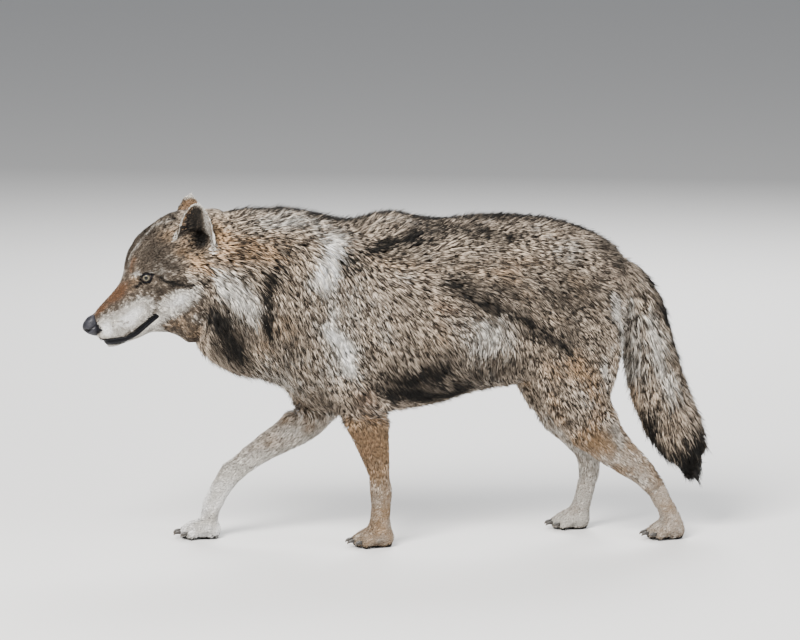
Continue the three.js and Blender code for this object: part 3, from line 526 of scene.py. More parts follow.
def edges_of(mesh):
    out = np.zeros(len(mesh.edges) * 2, np.int32)
    mesh.edges.foreach_get("vertices", out)
    return out.reshape(-1, 2)


FIELDS = {"FLOAT_COLOR": "color", "FLOAT_VECTOR": "vector"}  # where each kind keeps its values


def put(mesh, name, kind, values):
    """A value for each vertex, kept on the mesh."""
    attribute = mesh.attributes.new(name, kind, "POINT")
    values = np.ascontiguousarray(values, np.int32 if kind == "INT" else np.float32)
    attribute.data.foreach_set(FIELDS.get(kind, "value"), values.ravel())


def put_channels(mesh, name, *channels):
    """Up to three channels of a colour attribute, with the rest 0 and the alpha 1."""
    colour = np.zeros((len(mesh.vertices), 4))
    colour[:, : len(channels)] = np.stack(channels, axis=1)
    colour[:, 3] = 1
    put(mesh, name, "FLOAT_COLOR", colour)


def taken(mesh, name, width):
    """The values kept on the mesh under that name."""
    attribute = mesh.attributes[name]
    kind = attribute.data_type
    out = np.zeros(len(attribute.data) * width, np.int32 if kind == "INT" else np.float32)
    attribute.data.foreach_get(FIELDS.get(kind, "value"), out)
    return out.reshape(-1, width) if width > 1 else out


def welded(node):
    """A node's vertices and triangles, with vertices in one place made one."""
    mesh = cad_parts[node].data
    places = coordinates(mesh)
    _, first, same = np.unique(np.round(places, 6), axis=0, return_index=True, return_inverse=True)
    return places[first], same.ravel()[triangles_of(mesh)]


def corner_normals(places, triangles):
    first, second, third = (places[triangles[:, corner]] for corner in range(3))
    cross = np.cross(second - first, third - first)
    out = np.zeros_like(places)
    for corner in range(3):
        for axis in range(3):
            out[:, axis] += np.bincount(triangles[:, corner], cross[:, axis], len(places))
    return unit(out)


def diffused(values, edges, rounds, weight=0.5):
    """Values at vertices, evened out along the edges. The weight may differ from vertex to vertex."""
    values = np.array(values, float)
    flat = values.ndim == 1
    values = values.reshape(len(values), -1)
    weight = np.broadcast_to(np.asarray(weight, float), (len(values),)).reshape(-1, 1)
    count = np.bincount(edges.ravel(), minlength=len(values)).reshape(-1, 1)
    for _ in range(rounds):
        total = np.empty_like(values)
        for axis in range(values.shape[1]):
            total[:, axis] = np.bincount(edges[:, 0], values[edges[:, 1], axis], len(values))
            total[:, axis] += np.bincount(edges[:, 1], values[edges[:, 0], axis], len(values))
        values = values + weight * (total / np.maximum(count, 1) - values)
    return values[:, 0] if flat else values


def from_line(flat, line):
    """How far each place in a plane is from a line of points, and how far it is above the line."""
    line = np.array(line, float)
    gap, above = np.full(len(flat), np.inf), np.zeros(len(flat))
    for a, b in zip(line[:-1], line[1:]):
        t = np.clip((flat - a) @ (b - a) / ((b - a) @ (b - a)), 0, 1)
        offset = flat - a - t[:, None] * (b - a)
        distance = np.linalg.norm(offset, axis=1)
        above = np.where(distance < gap, offset[:, 1], above)
        gap = np.minimum(gap, distance)
    return gap, above


def finder(points):
    """A function that gives, for each of its places, the number of the nearest of the points."""
    tree = KDTree(len(points))
    for number, point in enumerate(points.tolist()):
        tree.insert(point, number)
    tree.balance()
    return lambda places: np.array([tree.find(place)[1] for place in places.tolist()])


def kind_of(node):
    return next(kind for kind in COAT if node.startswith(kind))


def of_nodes(kinds, *nodes):
    """Which places belong to the given nodes, from the number in FLESH of each place's node."""
    return np.isin(kinds, [FLESH.index(node) for node in nodes])


# ------------------------------------------------------------------ the skin


def outer_shell(cell):
    """One closed mesh round all the flesh, with the solids' joints gone, as a Blender mesh in metres."""
    places, faces, count = [], [], 0
    for node in (*FLESH, *SET_IN):
        verts, triangles = welded(node)
        places.append(verts + corner_normals(verts, triangles) * WELD_OVERLAP * MM)
        faces.append(triangles + count)
        count += len(verts)
    joined = mesh_from("flesh_solids", np.vstack(places), np.vstack(faces))
    obj = add_object("flesh_solids", joined)
    remesh = obj.modifiers.new("skin", "REMESH")
    remesh.mode = "VOXEL"
    remesh.voxel_size = cell
    drawn = bpy.data.meshes.new_from_object(obj.evaluated_get(bpy.context.evaluated_depsgraph_get()))
    bpy.data.objects.remove(obj)
    bpy.data.meshes.remove(joined)
    return drawn


def refined(mesh):
    """The head and the paws are cut finer, and the places round the eyes, lips and nose finer again."""
    work = bmesh.new()
    work.from_mesh(mesh)
    for level in range(2):
        middles = np.array([edge.verts[0].co + edge.verts[1].co for edge in work.edges]) / 2 / MM
        forward, side, up = in_head(middles)
        eye = np.sqrt((forward - EYE["forward"]) ** 2 + (side - EYE["side"]) ** 2 + (up - EYE["up"]) ** 2)
        chosen = [forward > -70, (eye < 30) | (forward > 120)][level]
        chosen &= middles[:, 0] < HEAD_REAR
        if level == 0:
            chosen |= middles[:, 2] < PAW_TOP
        edges = [edge for edge, take in zip(work.edges, chosen) if take]
        bmesh.ops.subdivide_edges(work, edges=edges, cuts=1, use_grid_fill=True)
    bmesh.ops.triangulate(work, faces=work.faces[:])
    work.to_mesh(mesh)
    work.free()
    return mesh


def nearest_nodes(places):
    """The number in FLESH of the node nearest to each place, given in metres."""
    verts, triangles, owner, count = [], [], [], 0
    for number, node in enumerate(FLESH):
        node_verts, node_triangles = welded(node)
        verts.append(node_verts)
        triangles.append(node_triangles + count)
        owner += [number] * len(node_triangles)
        count += len(node_verts)
    tree = BVHTree.FromPolygons(np.vstack(verts).tolist(), np.vstack(triangles).tolist())
    return np.array([owner[tree.find_nearest(place)[2]] for place in places.tolist()])


def head_coat(places):
    """The head's coat, shortest on the muzzle and longest on the cheeks, in the order of COAT."""
    forward, side, up = in_head(places)
    rear = smooth_step(70, -20, forward)
    shares = {
        "face": 1 - rear,
        "cheek": rear * smooth_step(25, -35, up) * smooth_step(20, 50, side),
        "muzzle": smooth_step(105, 160, forward),
        "bed of the nose": smooth_step(222, 232, forward) * smooth_step(-30, -20, up),
    }
    for column, size in enumerate(COAT["head"][:HEAD_BASE_SIZES]):
        for part, share in shares.items():
            size = size + HEAD_COAT[part][column] * share
        yield size


def lie_of_coat(places, kinds, normals):
    """The direction in which the coat lies at each place, along the skin."""
    field = np.zeros_like(places)
    for x, y, z, along, out, up, reach in LIE.values():
        for side in (-1, 1):
            gap = places - np.array([x, side * y, z])
            weight = np.exp(-np.sum(gap * gap, axis=1) / reach**2)
            field += weight[:, None] * unit([along, side * out, up])
    for limb, line in LIMBS.items():
        inside = of_nodes(kinds, limb)
        line = np.array(line, float)
        along = unit(np.gradient(line, axis=0))
        gap = places[inside, None, :] - line[None]
        weight = np.exp(-np.sum(gap * gap, axis=2) / LIMB_REACH**2) + 1e-9
        field[inside] = unit(np.einsum("ij,jk->ik", weight, along))
    return along_skin(field, normals)


def along_skin(field, normals):
    """Directions turned to lie along the skin."""
    return unit(field - normals * np.sum(field * normals, axis=1, keepdims=True))


def first_tones(places, kinds):
    """The tones of the legs from top to bottom, and the faint blots of the rest."""
    marks = np.zeros((len(places), len(TONES)))
    uneven = 0.14 * value_noise(places, 24, 71)
    lower = smooth_step(230, 60, places[:, 2])
    for leg, (tan, pale, paw_tan, paw_pale) in LEG_TONES.items():
        pair, side = leg.split("_")
        mine = of_nodes(kinds, f"{pair}leg_{side}", f"{pair}paw_{side}")
        marks[mine, TAN] = (tan + (paw_tan - tan) * lower + uneven)[mine]
        marks[mine, PALE] = (pale + (paw_pale - pale) * lower - uneven)[mine]
    rest = ~of_nodes(kinds, *LOWER_LEGS)
    for tone, strength in PATCHES.items():
        column = TONES.index(tone)
        blots = value_noise(places, 44, 51 + column) + 0.4 * value_noise(places, 15, 61 + column)
        blots = strength * smooth_step(0.1, 0.8, blots)
        marks[rest, column] = np.maximum(marks[rest, column], blots[rest])
    return marks


def markings(places, normals, kinds):
    """How much of each tone the coat has at each place, from 0 to 1, in the order of TONES. The dark tone
    includes painted shade under the belly, below the chest, beneath the trunk at the forelegs and in the
    ears' hollows.
    """
    marks = first_tones(places, kinds)
    head, jaw = of_nodes(kinds, "head"), of_nodes(kinds, "lower_jaw")
    ears = of_nodes(kinds, "ear_left", "ear_right")
    wander = sum(
        far * np.stack([value_noise(places, cell, seed + axis) for axis in range(3)], axis=1)
        for cell, far, seed in WANDER
    )
    seen = places + wander * (1 - HEAD_STEADY * head)[:, None]

    def paint(tone, gap, strength, where, edge=1.0):
        """Lays a tone over the others, fading as the gap, in shares of its reach, grows."""
        amount = strength * np.exp(-(np.sum(gap * gap, axis=1) ** edge)) * where
        column = TONES.index(tone)
        others = [k for k in range(len(TONES)) if k != column]
        marks[:, others] *= 1 - amount[:, None]
        marks[:, column] = np.maximum(marks[:, column], amount)

    for tone, middle, reach, strength in MARKINGS_AND_SHADES:
        centre = np.where([False, True, False], np.sign(seen[:, 1:2]) * middle[1], middle)
        paint(tone, (seen - centre) / np.array(reach, float), strength, ~ears)
    for tone, line, half, strength in STRIPES_AND_SHADES:
        paint(tone, from_line(seen[:, [0, 2]], line)[0][:, None] / half, strength, ~(head | jaw | ears))
    under = np.minimum(0, (places[:, 2] - SPINE["foot"]) / SPINE["fade"])
    crest = np.stack([seen[:, 1] / SPINE["half"], under], axis=1)
    broken = 0.86 + 0.3 * value_noise(places, 20, 81)
    paint("dark", crest, SPINE["strength"] * broken, of_nodes(kinds, "trunk", "neck"))

    face = head | jaw
    forward, _, up = in_head(seen)
    marks[jaw, PALE] = JAW_PALE
    for tone, (ahead, above), (reach, rise), strength in HEAD_MARKINGS:
        paint(tone, np.stack([(forward - ahead) / reach, (up - above) / rise], axis=1), strength, face, 1.4)
    for tone, line, half, strength in HEAD_STRIPES:
        paint(tone, from_line(np.stack([forward, up], axis=1), line)[0][:, None] / half, strength, face)
    forward, _, up = in_head(places)
    for ahead, above in WHISKERS:
        gap = np.stack([forward - ahead, up - above], axis=1) / WHISKER_ROOT[0]
        paint("dark", gap, WHISKER_ROOT[1], face)
    for side in (-1, 1):
        ear = ears & (places[:, 1] * side > 0)
        marks[ear] = ear_tones(*in_ear(places[ear], normals[ear], side))
        # Dark on the head's skin in the ear's hollow: partly its own colour and partly painted shade.
        paint("dark", from_ear_well(places, side), 0.92, face)
    return marks


def in_ear(places, normals, side):
    """Across the ear from -1 in front to 1 behind, up it from 0 to 1, and how far the skin faces outwards."""
    base, tip = (np.array([x, side * y, z]) for x, y, z in (EAR["base"], EAR["tip"]))
    rise = tip - base
    upward = unit(rise)
    facing = np.array(EAR["facing"]) * [1, side, 1]
    facing = unit(facing - upward * (facing @ upward))
    height = (places - base) @ upward / np.linalg.norm(rise)
    share = np.clip(height, 0, 0.98)
    wide = EAR["wide"] * (1 - share**2.2) ** 0.6
    across = (places - base) @ np.cross(upward, facing) * -side / wide
    return across, height, normals @ facing


def ear_tones(across, height, outward):
    """The tones of an ear's back, its rim, the dark of its well (partly painted shade) and the pale lining
    behind that.
    """
    rim = smooth_step(0.84, 0.96, np.maximum(np.abs(across), height))
    hollow = smooth_step(-0.25, 0.1, outward) * (1 - rim)
    lining = hollow * smooth_step(0.1, 0.5, across)
    shares = {"back": (1 - hollow) * (1 - rim), "rim": rim, "well": hollow - lining, "lining": lining}
    return sum(share[:, None] * EAR_TONES[part] for part, share in shares.items())


def from_ear_well(places, side):
    """How far each place is from the middle of the ear's hollow, in shares of its reach."""
    return (places - np.array(EAR_WELL["middle"]) * [1, side, 1]) / EAR_WELL["reach"]


def with_lids(places):
    """The head's skin wrapped round both eyes, and how bare of hair the lids are."""
    bare = np.zeros(len(places))
    for side in (-1, 1):
        gaze = looking(SOCKET_AXIS, side)
        corner = looking(EYE_CORNER, side)
        corner = unit(corner - gaze * (corner @ gaze))
        across = np.cross(gaze, corner) * side
        across = across if across @ UP > 0 else -across
        offset = places - on_head(EYE["forward"], side * EYE["side"], EYE["up"])
        depth, u, v = offset @ gaze, offset @ corner, offset @ across
        radial = np.sqrt(np.maximum(u * u + v * v, 1e-6))
        v = np.where(v > 0, LIDS["hang"] * v, v)
        half = EYE_OPENING[1] * np.clip(1 - (u / EYE_OPENING[0] / 1.5) ** 2, 0.3, 1)
        lid = np.sqrt((u / EYE_OPENING[0]) ** 2 + (v / half) ** 2)
        near = (np.linalg.norm(offset, axis=1) < LIDS["reach"]) & (depth > -4)
        shell = EYE["radius"] + LIDS["thickness"]
        on_shell = np.sqrt(np.maximum(shell**2 - radial**2, 0))
        sunk = np.sqrt(np.maximum((EYE["radius"] - LIDS["sunk"]) ** 2 - radial**2, 0))
        wrap = near * smooth_step(*LIDS["face"], lid) * (radial < shell)
        places = places + ((np.where(lid > 1, on_shell, sunk) - depth) * wrap)[:, None] * gaze
        bare = np.maximum(bare, near * smooth_step(*LIDS["hair"], lid))
    return places, bare


def with_mouth(places, normals):
    """The skin with the mouth's line pressed in, and how bare the lips and the bed of the nose are."""
    forward, side, up = in_head(places)
    gap, above = from_line(np.stack([forward, up], axis=1), MOUTH_LINE)
    face = (forward > 105) & ((side > 3) | (forward > 205))
    groove = face * np.exp(-((gap / MOUTH_GROOVE[0]) ** 2))
    edge = gap + np.where(above > 0, UPPER_LIP, 0) - FRONT_LIPS * smooth_step(150, 215, forward)
    bed = smooth_step(223, 229, forward) * smooth_step(-29, -22, up)
    bare = np.maximum(face * smooth_step(*LIPS, edge), bed)
    return places - normals * (groove * MOUTH_GROOVE[1])[:, None], bare


def toe_grooves(places, kinds):
    """How far the skin sinks in between the toes of each paw, in millimetres."""
    sunk = np.zeros(len(places))
    for paw in PAWS:
        for side in SIDES:
            ends = []
            for toe in TOES:
                low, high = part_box(f"claw_{paw}_{side}_{toe}")
                ends.append((0.5 * (low[1] + high[1]) / MM, high[0] / MM))
            ends.sort()
            mine = of_nodes(kinds, f"{paw}_{side}")
            for (y, x), (next_y, next_x) in zip(ends[:-1], ends[1:]):
                start = (x + next_x) / 2
                across = (places[:, 1] - (y + next_y) / 2) / TOE_GROOVE["half"]
                length = TOE_GROOVE["length"]
                ahead = smooth_step(start + length, start + 0.4 * length, places[:, 0])
                sunk = np.maximum(sunk, mine * TOE_GROOVE["depth"] * np.exp(-across * across) * ahead)
    return sunk


class WOLF_OT_skin(bpy.types.Operator):
    """Draws one skin round all the flesh and sets it in by the depth of the coat"""

    bl_idname = "wolf.skin"
    bl_label = "Skin"

    def execute(self, context):
        coat, _, _ = settings()
        mesh = refined(outer_shell(coat.voxel))
        places = coordinates(mesh)
        kinds = nearest_nodes(places)
        places /= MM
        edges, triangles = edges_of(mesh), triangles_of(mesh)

        # The outside of the coat, with the solids' facets evened out.
        *sizes, ease = np.array([COAT[kind_of(node)] for node in FLESH])[kinds].T
        is_head = of_nodes(kinds, "head")
        sizes = [np.where(is_head, of_head, of_all) for of_head, of_all in zip(head_coat(places), sizes)]
        ease = diffused(ease, edges, 12)
        for _ in range(SMOOTHING):
            for weight in SMOOTHING_STEPS:
                places = diffused(places, edges, 1, weight * ease)
        places = diffused(places, edges, 3, 0.4 * ease)
        depth, length, width, density = diffused(np.stack(sizes, axis=1), edges, 24).T
        normals = corner_normals(places, triangles)
        paw = of_nodes(kinds, *[node for node in FLESH if "paw_" in node])
        sole = paw * smooth_step(3.2, 1.4, places[:, 2]) * smooth_step(-0.35, -0.7, normals[:, 2])
        depth = depth * (1 - sole)

        # The skin under it.
        inward = unit(diffused(normals, edges, 6))
        skin = places - inward * (depth + WELD_OVERLAP)[:, None]
        skin = diffused(skin, edges, 6, 0.5 * smooth_step(3, 12, depth))
        for side in (-1, 1):
            well = is_head * np.exp(-np.sum(from_ear_well(places, side) ** 2, axis=1))
            well = diffused(well, edges, 4)
            skin -= np.array([0, side, 0]) * (EAR_WELL["depth"] * well)[:, None]
            length, depth = length * (1 - 0.75 * well), depth * (1 - 0.75 * well)
        skin -= normals * toe_grooves(places, kinds)[:, None]
        skin, lids = with_lids(skin)
        skin, lips = with_mouth(skin, normals)
        bare = np.maximum(np.maximum(lids, lips), sole)
        skin[:, 2] = np.maximum(skin[:, 2], FLOOR_GAP)
        skin_normals = corner_normals(skin, triangles)

        # How the coat lies on it, and in which tones.
        tuft = smooth_step(TAIL_TUFT["below"], TAIL_TUFT["below"] - TAIL_TUFT["over"], places[:, 2])
        length = length + TAIL_TUFT["longer"] * of_nodes(kinds, "tail") * tuft
        lie = lie_of_coat(skin, kinds, skin_normals)
        for side, name in ((-1, "ear_left"), (1, "ear_right")):
            ear = of_nodes(kinds, name)
            across, height, _ = in_ear(places[ear], normals[ear], side)
            fringe = smooth_step(-0.2, -0.7, across) * smooth_step(0.8, 0.5, height)
            length[ear] += EAR_FRINGE[0] * fringe
            lie[ear] += fringe[:, None] * np.array([EAR_FRINGE[1], 0, 0])
        lie = along_skin(diffused(lie, edges, 30), skin_normals)
        marks = diffused(markings(places, diffused(normals, edges, 2), kinds), edges, 2)
        marks[:, DARK] = np.maximum(marks[:, DARK], bare)
        marks[:, :DARK] *= 1 - bare[:, None]

        reshape(mesh, skin)
        put(mesh, "marks", "FLOAT_COLOR", marks)
        put_channels(mesh, "bare", bare)
        put(mesh, "lie", "FLOAT_VECTOR", lie)
        put(mesh, "sizes", "FLOAT_VECTOR", np.stack([depth, length, width], axis=1))
        put(mesh, "density", "FLOAT", density * (1 - smooth_step(0.3, 0.9, bare)))
        put(mesh, "kind", "INT", kinds)
        mesh.update()
        obj = add_object("skin", mesh, skin_material())
        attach(obj, "root")
        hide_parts(*FLESH)
        return {"FINISHED"}


# ------------------------------------------------------------------ the coat

COAT_PIECES = {
    "head": ("coat_head", ["head", "lower_jaw"]),
    "ears": ("coat_ear", ["ear_left", "ear_right"]),
    "neck": ("coat_neck", ["neck"]),
    "trunk": ("coat_back", ["trunk"]),
    "tail": ("coat_back", ["tail"]),
    "thighs": ("coat_pale", ["thigh_left", "thigh_right"]),
    "legs": ("coat_leg", LOWER_LEGS),
}


def unwrapped(places, kinds):
    """Each place on an unwrap of the skin: along each part and round it, with a field for each part."""
    uv = np.zeros((len(places), 2))
    columns, rows = BAKE_FIELDS
    for number, node in enumerate(FLESH):
        mine = kinds == number
        if not mine.any():
            continue
        own = places[mine]
        if node in LIMBS:
            line = np.array(LIMBS[node], float)
            nearest = np.argmin(np.sum((own[:, None] - line[None]) ** 2, axis=2), axis=1)
            course = unit(np.gradient(line, axis=0))[nearest]
            offset = own - line[nearest]
            step = np.sum(offset * course, axis=1)
            reach = np.concatenate([[0], np.cumsum(np.linalg.norm(np.diff(line, axis=0), axis=1))])
            along = (reach[nearest] + step) / reach[-1] * 0.8 + 0.1
            front = unit(np.cross(course, [0.0, 1.0, 0.0]))
            turn = np.arctan2(offset[:, 1], np.sum(offset * front, axis=1))
        else:
            low, high = own.min(axis=0), own.max(axis=0)
            along = (own[:, 0] - low[0]) / (high[0] - low[0])
            middle = (low + high) / 2
            turn = np.arctan2(own[:, 1] - middle[1], own[:, 2] - middle[2])
        inner = 1 - 2 * BAKE_MARGIN
        uv[mine, 0] = (number % columns + BAKE_MARGIN + inner * np.clip(along, 0, 1)) / columns
        uv[mine, 1] = (number // columns + BAKE_MARGIN + inner * (turn / (2 * math.pi) + 0.5)) / rows
    return uv


class Ground:
    """The skin as the coat needs it, in millimetres."""

    def __init__(self, mesh):
        self.places = coordinates(mesh) / MM
        self.triangles = triangles_of(mesh)
        self.normals = corner_normals(self.places, self.triangles)
        self.lie, self.sizes = (taken(mesh, name, 3).astype(float) for name in ("lie", "sizes"))
        self.density, self.kind = taken(mesh, "density", 1), taken(mesh, "kind", 1)
        self.marks = taken(mesh, "marks", len(TONES))
        self.nearest = finder(self.places)

    def scattered(self, rng, fullness):
        """Roots at random over the skin: the corners of the triangle of each, and their weights."""
        first, second, third = (self.places[self.triangles[:, corner]] for corner in range(3))
        area = np.linalg.norm(np.cross(second - first, third - first), axis=1) / 2
        share = area / SQUARE_CENTIMETRE * self.density[self.triangles].mean(axis=1) * fullness
        chosen = np.repeat(np.arange(len(self.triangles)), rng.poisson(share))
        u, v = rng.random(len(chosen)), rng.random(len(chosen))
        flip = u + v > 1
        u, v = np.where(flip, 1 - u, u), np.where(flip, 1 - v, v)
        return self.triangles[chosen], np.stack([1 - u - v, u, v], axis=1)

    def laid(self, points, height):
        """Points moved along the skin's normal to that height over it, and the vertex nearest to each."""
        at = self.nearest(points)
        lift = np.sum((points - self.places[at]) * self.normals[at], axis=1)
        return points + self.normals[at] * (height - lift)[:, None], at


def lock_points(root, normal, depth, middle, tip, wide, up):
    """The points of each lock: its root under the skin, a flat ring at its bend, and its tip."""
    axis = unit(tip - root)
    across = unit(np.cross(axis, up))
    thick = unit(np.cross(across, axis))
    ring = []
    for corner in range(LOCK_CORNERS):
        angle = 2 * math.pi * corner / LOCK_CORNERS + math.pi / 2
        sideways = across * (0.5 * wide * math.cos(angle))[:, None]
        ring.append(middle + sideways + thick * (0.5 * LOCK_FLATNESS * wide * math.sin(angle))[:, None])
    start = root - normal * np.minimum(LOCK_ROOT, 0.3 * depth)[:, None]
    points = np.stack([start, *ring, tip], axis=1)
    points[..., 2] = np.maximum(points[..., 2], FLOOR_GAP)
    return points


def lock_faces(count):
    """The triangles of so many locks, each from the root to the ring and on to the tip."""
    fan = []
    for corner in range(LOCK_CORNERS):
        after = (corner + 1) % LOCK_CORNERS
        fan += [(0, 1 + after, 1 + corner), (LOCK_POINTS - 1, 1 + corner, 1 + after)]
    return (np.array(fan)[None] + np.arange(count)[:, None, None] * LOCK_POINTS).reshape(-1, 3)


def lock_tags(root, tip, owner, length, short, chance, clump):
    """What colours each lock: its own chance, how grizzled it is, and the chance of its clump."""
    grizzle = 0.6 + 0.4 * value_noise(root, 22, 9) + 0.25 * smooth_step(560, 610, root[:, 2])
    grizzle = grizzle * smooth_step(8, 24, length)
    speckle = 0.75 * of_nodes(owner, "head", "lower_jaw") * short  # the head's hair is flecked finely
    chance = chance + speckle * (np.clip(0.5 + 0.75 * value_noise(tip, 3.8, 15), 0, 1) - chance)
    clump = clump + speckle * (np.clip(0.5 + 0.75 * value_noise(tip, 5.5, 16), 0, 1) - clump)
    calm = 0.5 * of_nodes(owner, *LOWER_LEGS)  # and the legs' is more even
    chance = chance + calm * (0.5 - chance)
    clump = clump + 1.3 * calm * (0.5 - clump)
    return np.stack([chance, grizzle, clump], axis=1)


def lock_piece(name, verts, marks, tags, uv):
    """Locks joined in one object, with their colours and their patches of the bake."""
    faces = lock_faces(len(verts))
    mesh = mesh_from(name, (verts * MM).reshape(-1, 3), faces)
    put(mesh, "marks", "FLOAT_COLOR", np.repeat(marks, LOCK_POINTS, axis=0))
    along = np.tile([0.0, *[LOCK_BEND] * LOCK_CORNERS, 1.0], len(verts))
    put(mesh, "coat", "FLOAT_COLOR", np.column_stack([along, np.repeat(tags, LOCK_POINTS, axis=0)]))
    patch = (uv[:, None] + np.array(BAKE_SPREAD) * BAKE_PATCH).reshape(-1, 2)
    layer = mesh.uv_layers.new(name="OFBake")
    layer.uv.foreach_set("vector", patch[faces.ravel()].astype(np.float32).ravel())
    return add_object(name, mesh, coat_material())


class WOLF_OT_coat(bpy.types.Operator):
    """Lays locks over the skin, each along the lie of the coat, and joins them in a few pieces"""

    bl_idname = "wolf.coat"
    bl_label = "Coat"

    def execute(self, context):
        coat, _, _ = settings()
        skin = Ground(bpy.data.objects["skin"].data)
        rng = np.random.default_rng(coat.seed)
        held, weights = skin.scattered(rng, coat.fullness)

        def at_root(values):
            return np.einsum("ij,ij...->i...", weights, values[held])

        root, normal, course = at_root(skin.places), unit(at_root(skin.normals)), unit(at_root(skin.lie))
        depth, usual, width = at_root(skin.sizes).T
        owner = skin.kind[held[:, 0]]
        count = len(root)
        short = smooth_step(*SHORT_LOCK, usual)

        # Each lock leaves its root along the lie of the coat, bends, and follows the lie where it then is.
        drift = value_noise(root, 38, 3) * 0.22 + value_noise(root, 12, 4) * 0.2
        turn = drift * (1 - 0.65 * short) + rng.normal(0, 0.13, count)
        side = np.cross(normal, course)
        course = unit(course * np.cos(turn)[:, None] + side * np.sin(turn)[:, None])
        length = usual * coat.length * (0.72 + 0.5 * rng.random(count))
        bend = root + course * (length * LOCK_BEND)[:, None]
        middle, at = skin.laid(bend, depth * (0.5 + 0.34 * rng.random(count)))
        onward = unit(skin.lie[at] * 0.6 + course)
        stray = (rng.random(count) < STRAY_SHARE) * (1 - short)
        uneven = 0.2 * value_noise(root, 24, 12) * (1 - short)
        rise = depth * (0.8 + 0.3 * rng.random(count) ** 2 + 0.35 * stray + uneven)
        tip, _ = skin.laid(middle + onward * (length * (1 - LOCK_BEND))[:, None], rise)

        # The locks of a clump draw together towards their leader.
        leaders = np.flatnonzero(rng.random(count) < 1 / LOCKS_IN_CLUMP)
        leader = leaders[finder(root[leaders])(root)]
        pull = coat.clumping * (0.2 + 0.8 * (1 - short)) * (0.7 + 0.6 * rng.random(count))
        gap = tip[leader] - tip
        tip += gap * pull[:, None] * np.minimum(1, 1.2 * length / (1 + np.linalg.norm(gap, axis=1)))[:, None]
        tip, at_tip = skin.laid(tip, rise)
        middle += (middle[leader] - middle) * (0.4 * pull)[:, None]

        clump = rng.random(count)[leader]
        tones = np.where((rng.random(count) < 0.3)[:, None], skin.marks[at], skin.marks[at_tip])
        wide = width * (0.75 + 0.5 * rng.random(count))
        verts = lock_points(root, normal, depth, middle, tip, wide, skin.normals[at])
        tags = lock_tags(root, tip, owner, usual, short, rng.random(count), clump)
        uv = unwrapped(root, owner)
        for piece, (slot, nodes) in COAT_PIECES.items():
            mine = np.flatnonzero(of_nodes(owner, *nodes))
            mine = mine[np.argsort(root[mine, 0], kind="stable")]
            parts = max(1, math.ceil(len(mine) * 2 * LOCK_CORNERS / PIECE_LIMIT))
            for number, part in enumerate(np.array_split(mine, parts), start=1):
                name = f"coat_{piece}" if parts == 1 else f"coat_{piece}_{number}"
                obj = lock_piece(name, verts[part], tones[part], tags[part], uv[part])
                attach(obj, "root")
        return {"FINISHED"}


# ------------------------------------------------------------------ finishes


class Nodes:
    """Short calls for wiring a node tree."""

    def __init__(self, tree):
        self.tree = tree

    def add(self, kind, **fields):
        node = self.tree.nodes.new(kind)
        for name, value in fields.items():
            setattr(node, name, value)
        return node

    def set(self, socket, value):
        if isinstance(value, bpy.types.NodeSocket):
            self.tree.links.new(value, socket)
        else:
            socket.default_value = value

    def math(self, operation, *values):
        node = self.add("ShaderNodeMath", operation=operation)
        for socket, value in zip(node.inputs, values):
            self.set(socket, value)
        return node.outputs[0]

    def ramp(self, value, low, high, out_low=0.0, out_high=1.0):
        node = self.add("ShaderNodeMapRange", interpolation_type="SMOOTHSTEP")
        for socket, given in zip(node.inputs, (value, low, high, out_low, out_high)):
            self.set(socket, given)
        return node.outputs[0]

    def mix(self, share, first, second, kind="MIX"):
        node = self.add("ShaderNodeMix", data_type="RGBA", blend_type=kind)
        self.set(node.inputs[0], share)
        self.set(node.inputs[6], first)
        self.set(node.inputs[7], second)
        return node.outputs[2]

    def tinted(self, first, second):
        """One colour multiplied by another."""
        return self.mix(1.0, first, second, "MULTIPLY")

    def noise(self, scale, detail):
        node = self.add("ShaderNodeTexNoise")
        node.inputs["Scale"].default_value = scale
        node.inputs["Detail"].default_value = detail
        self.set(node.inputs["Vector"], self.place())
        return node.outputs["Fac"]

    def bump(self, height, strength, distance, invert=False):
        node = self.add("ShaderNodeBump", invert=invert)
        node.inputs["Strength"].default_value = strength
        node.inputs["Distance"].default_value = distance
        self.set(node.inputs["Height"], height)
        return node.outputs[0]

    def place(self):
        return self.add("ShaderNodeTexCoord").outputs["Object"]

    def attribute(self, name):
        """The three channels of a colour attribute, and its alpha."""
        node = self.add("ShaderNodeAttribute", attribute_name=name)
        split = self.add("ShaderNodeSeparateColor")
        self.set(split.inputs[0], node.outputs["Color"])
        return [*split.outputs[:3], node.outputs["Alpha"]]


CHANNELS = ("Along", "Chance", "Grizzle", "Clump", *(tone.capitalize() for tone in TONES))
PALETTE = ("under", "band", "tip", *TONES)
SUNLIT = (1.6, 1.6, 1.63, 1)  # how much the lightest hairs are lighter than their band
# The darker roots of pale hair are partly underfur and partly painted shade between the locks.
UNDERFUR_AND_SHADE = (0.6, 0.57, 0.54, 1)  # and how much the roots of pale hairs are darker
PURE_WHITE = (0.93, 0.92, 0.91, 1)
LIP_DARKNESS = 0.4  # of the nose's colour


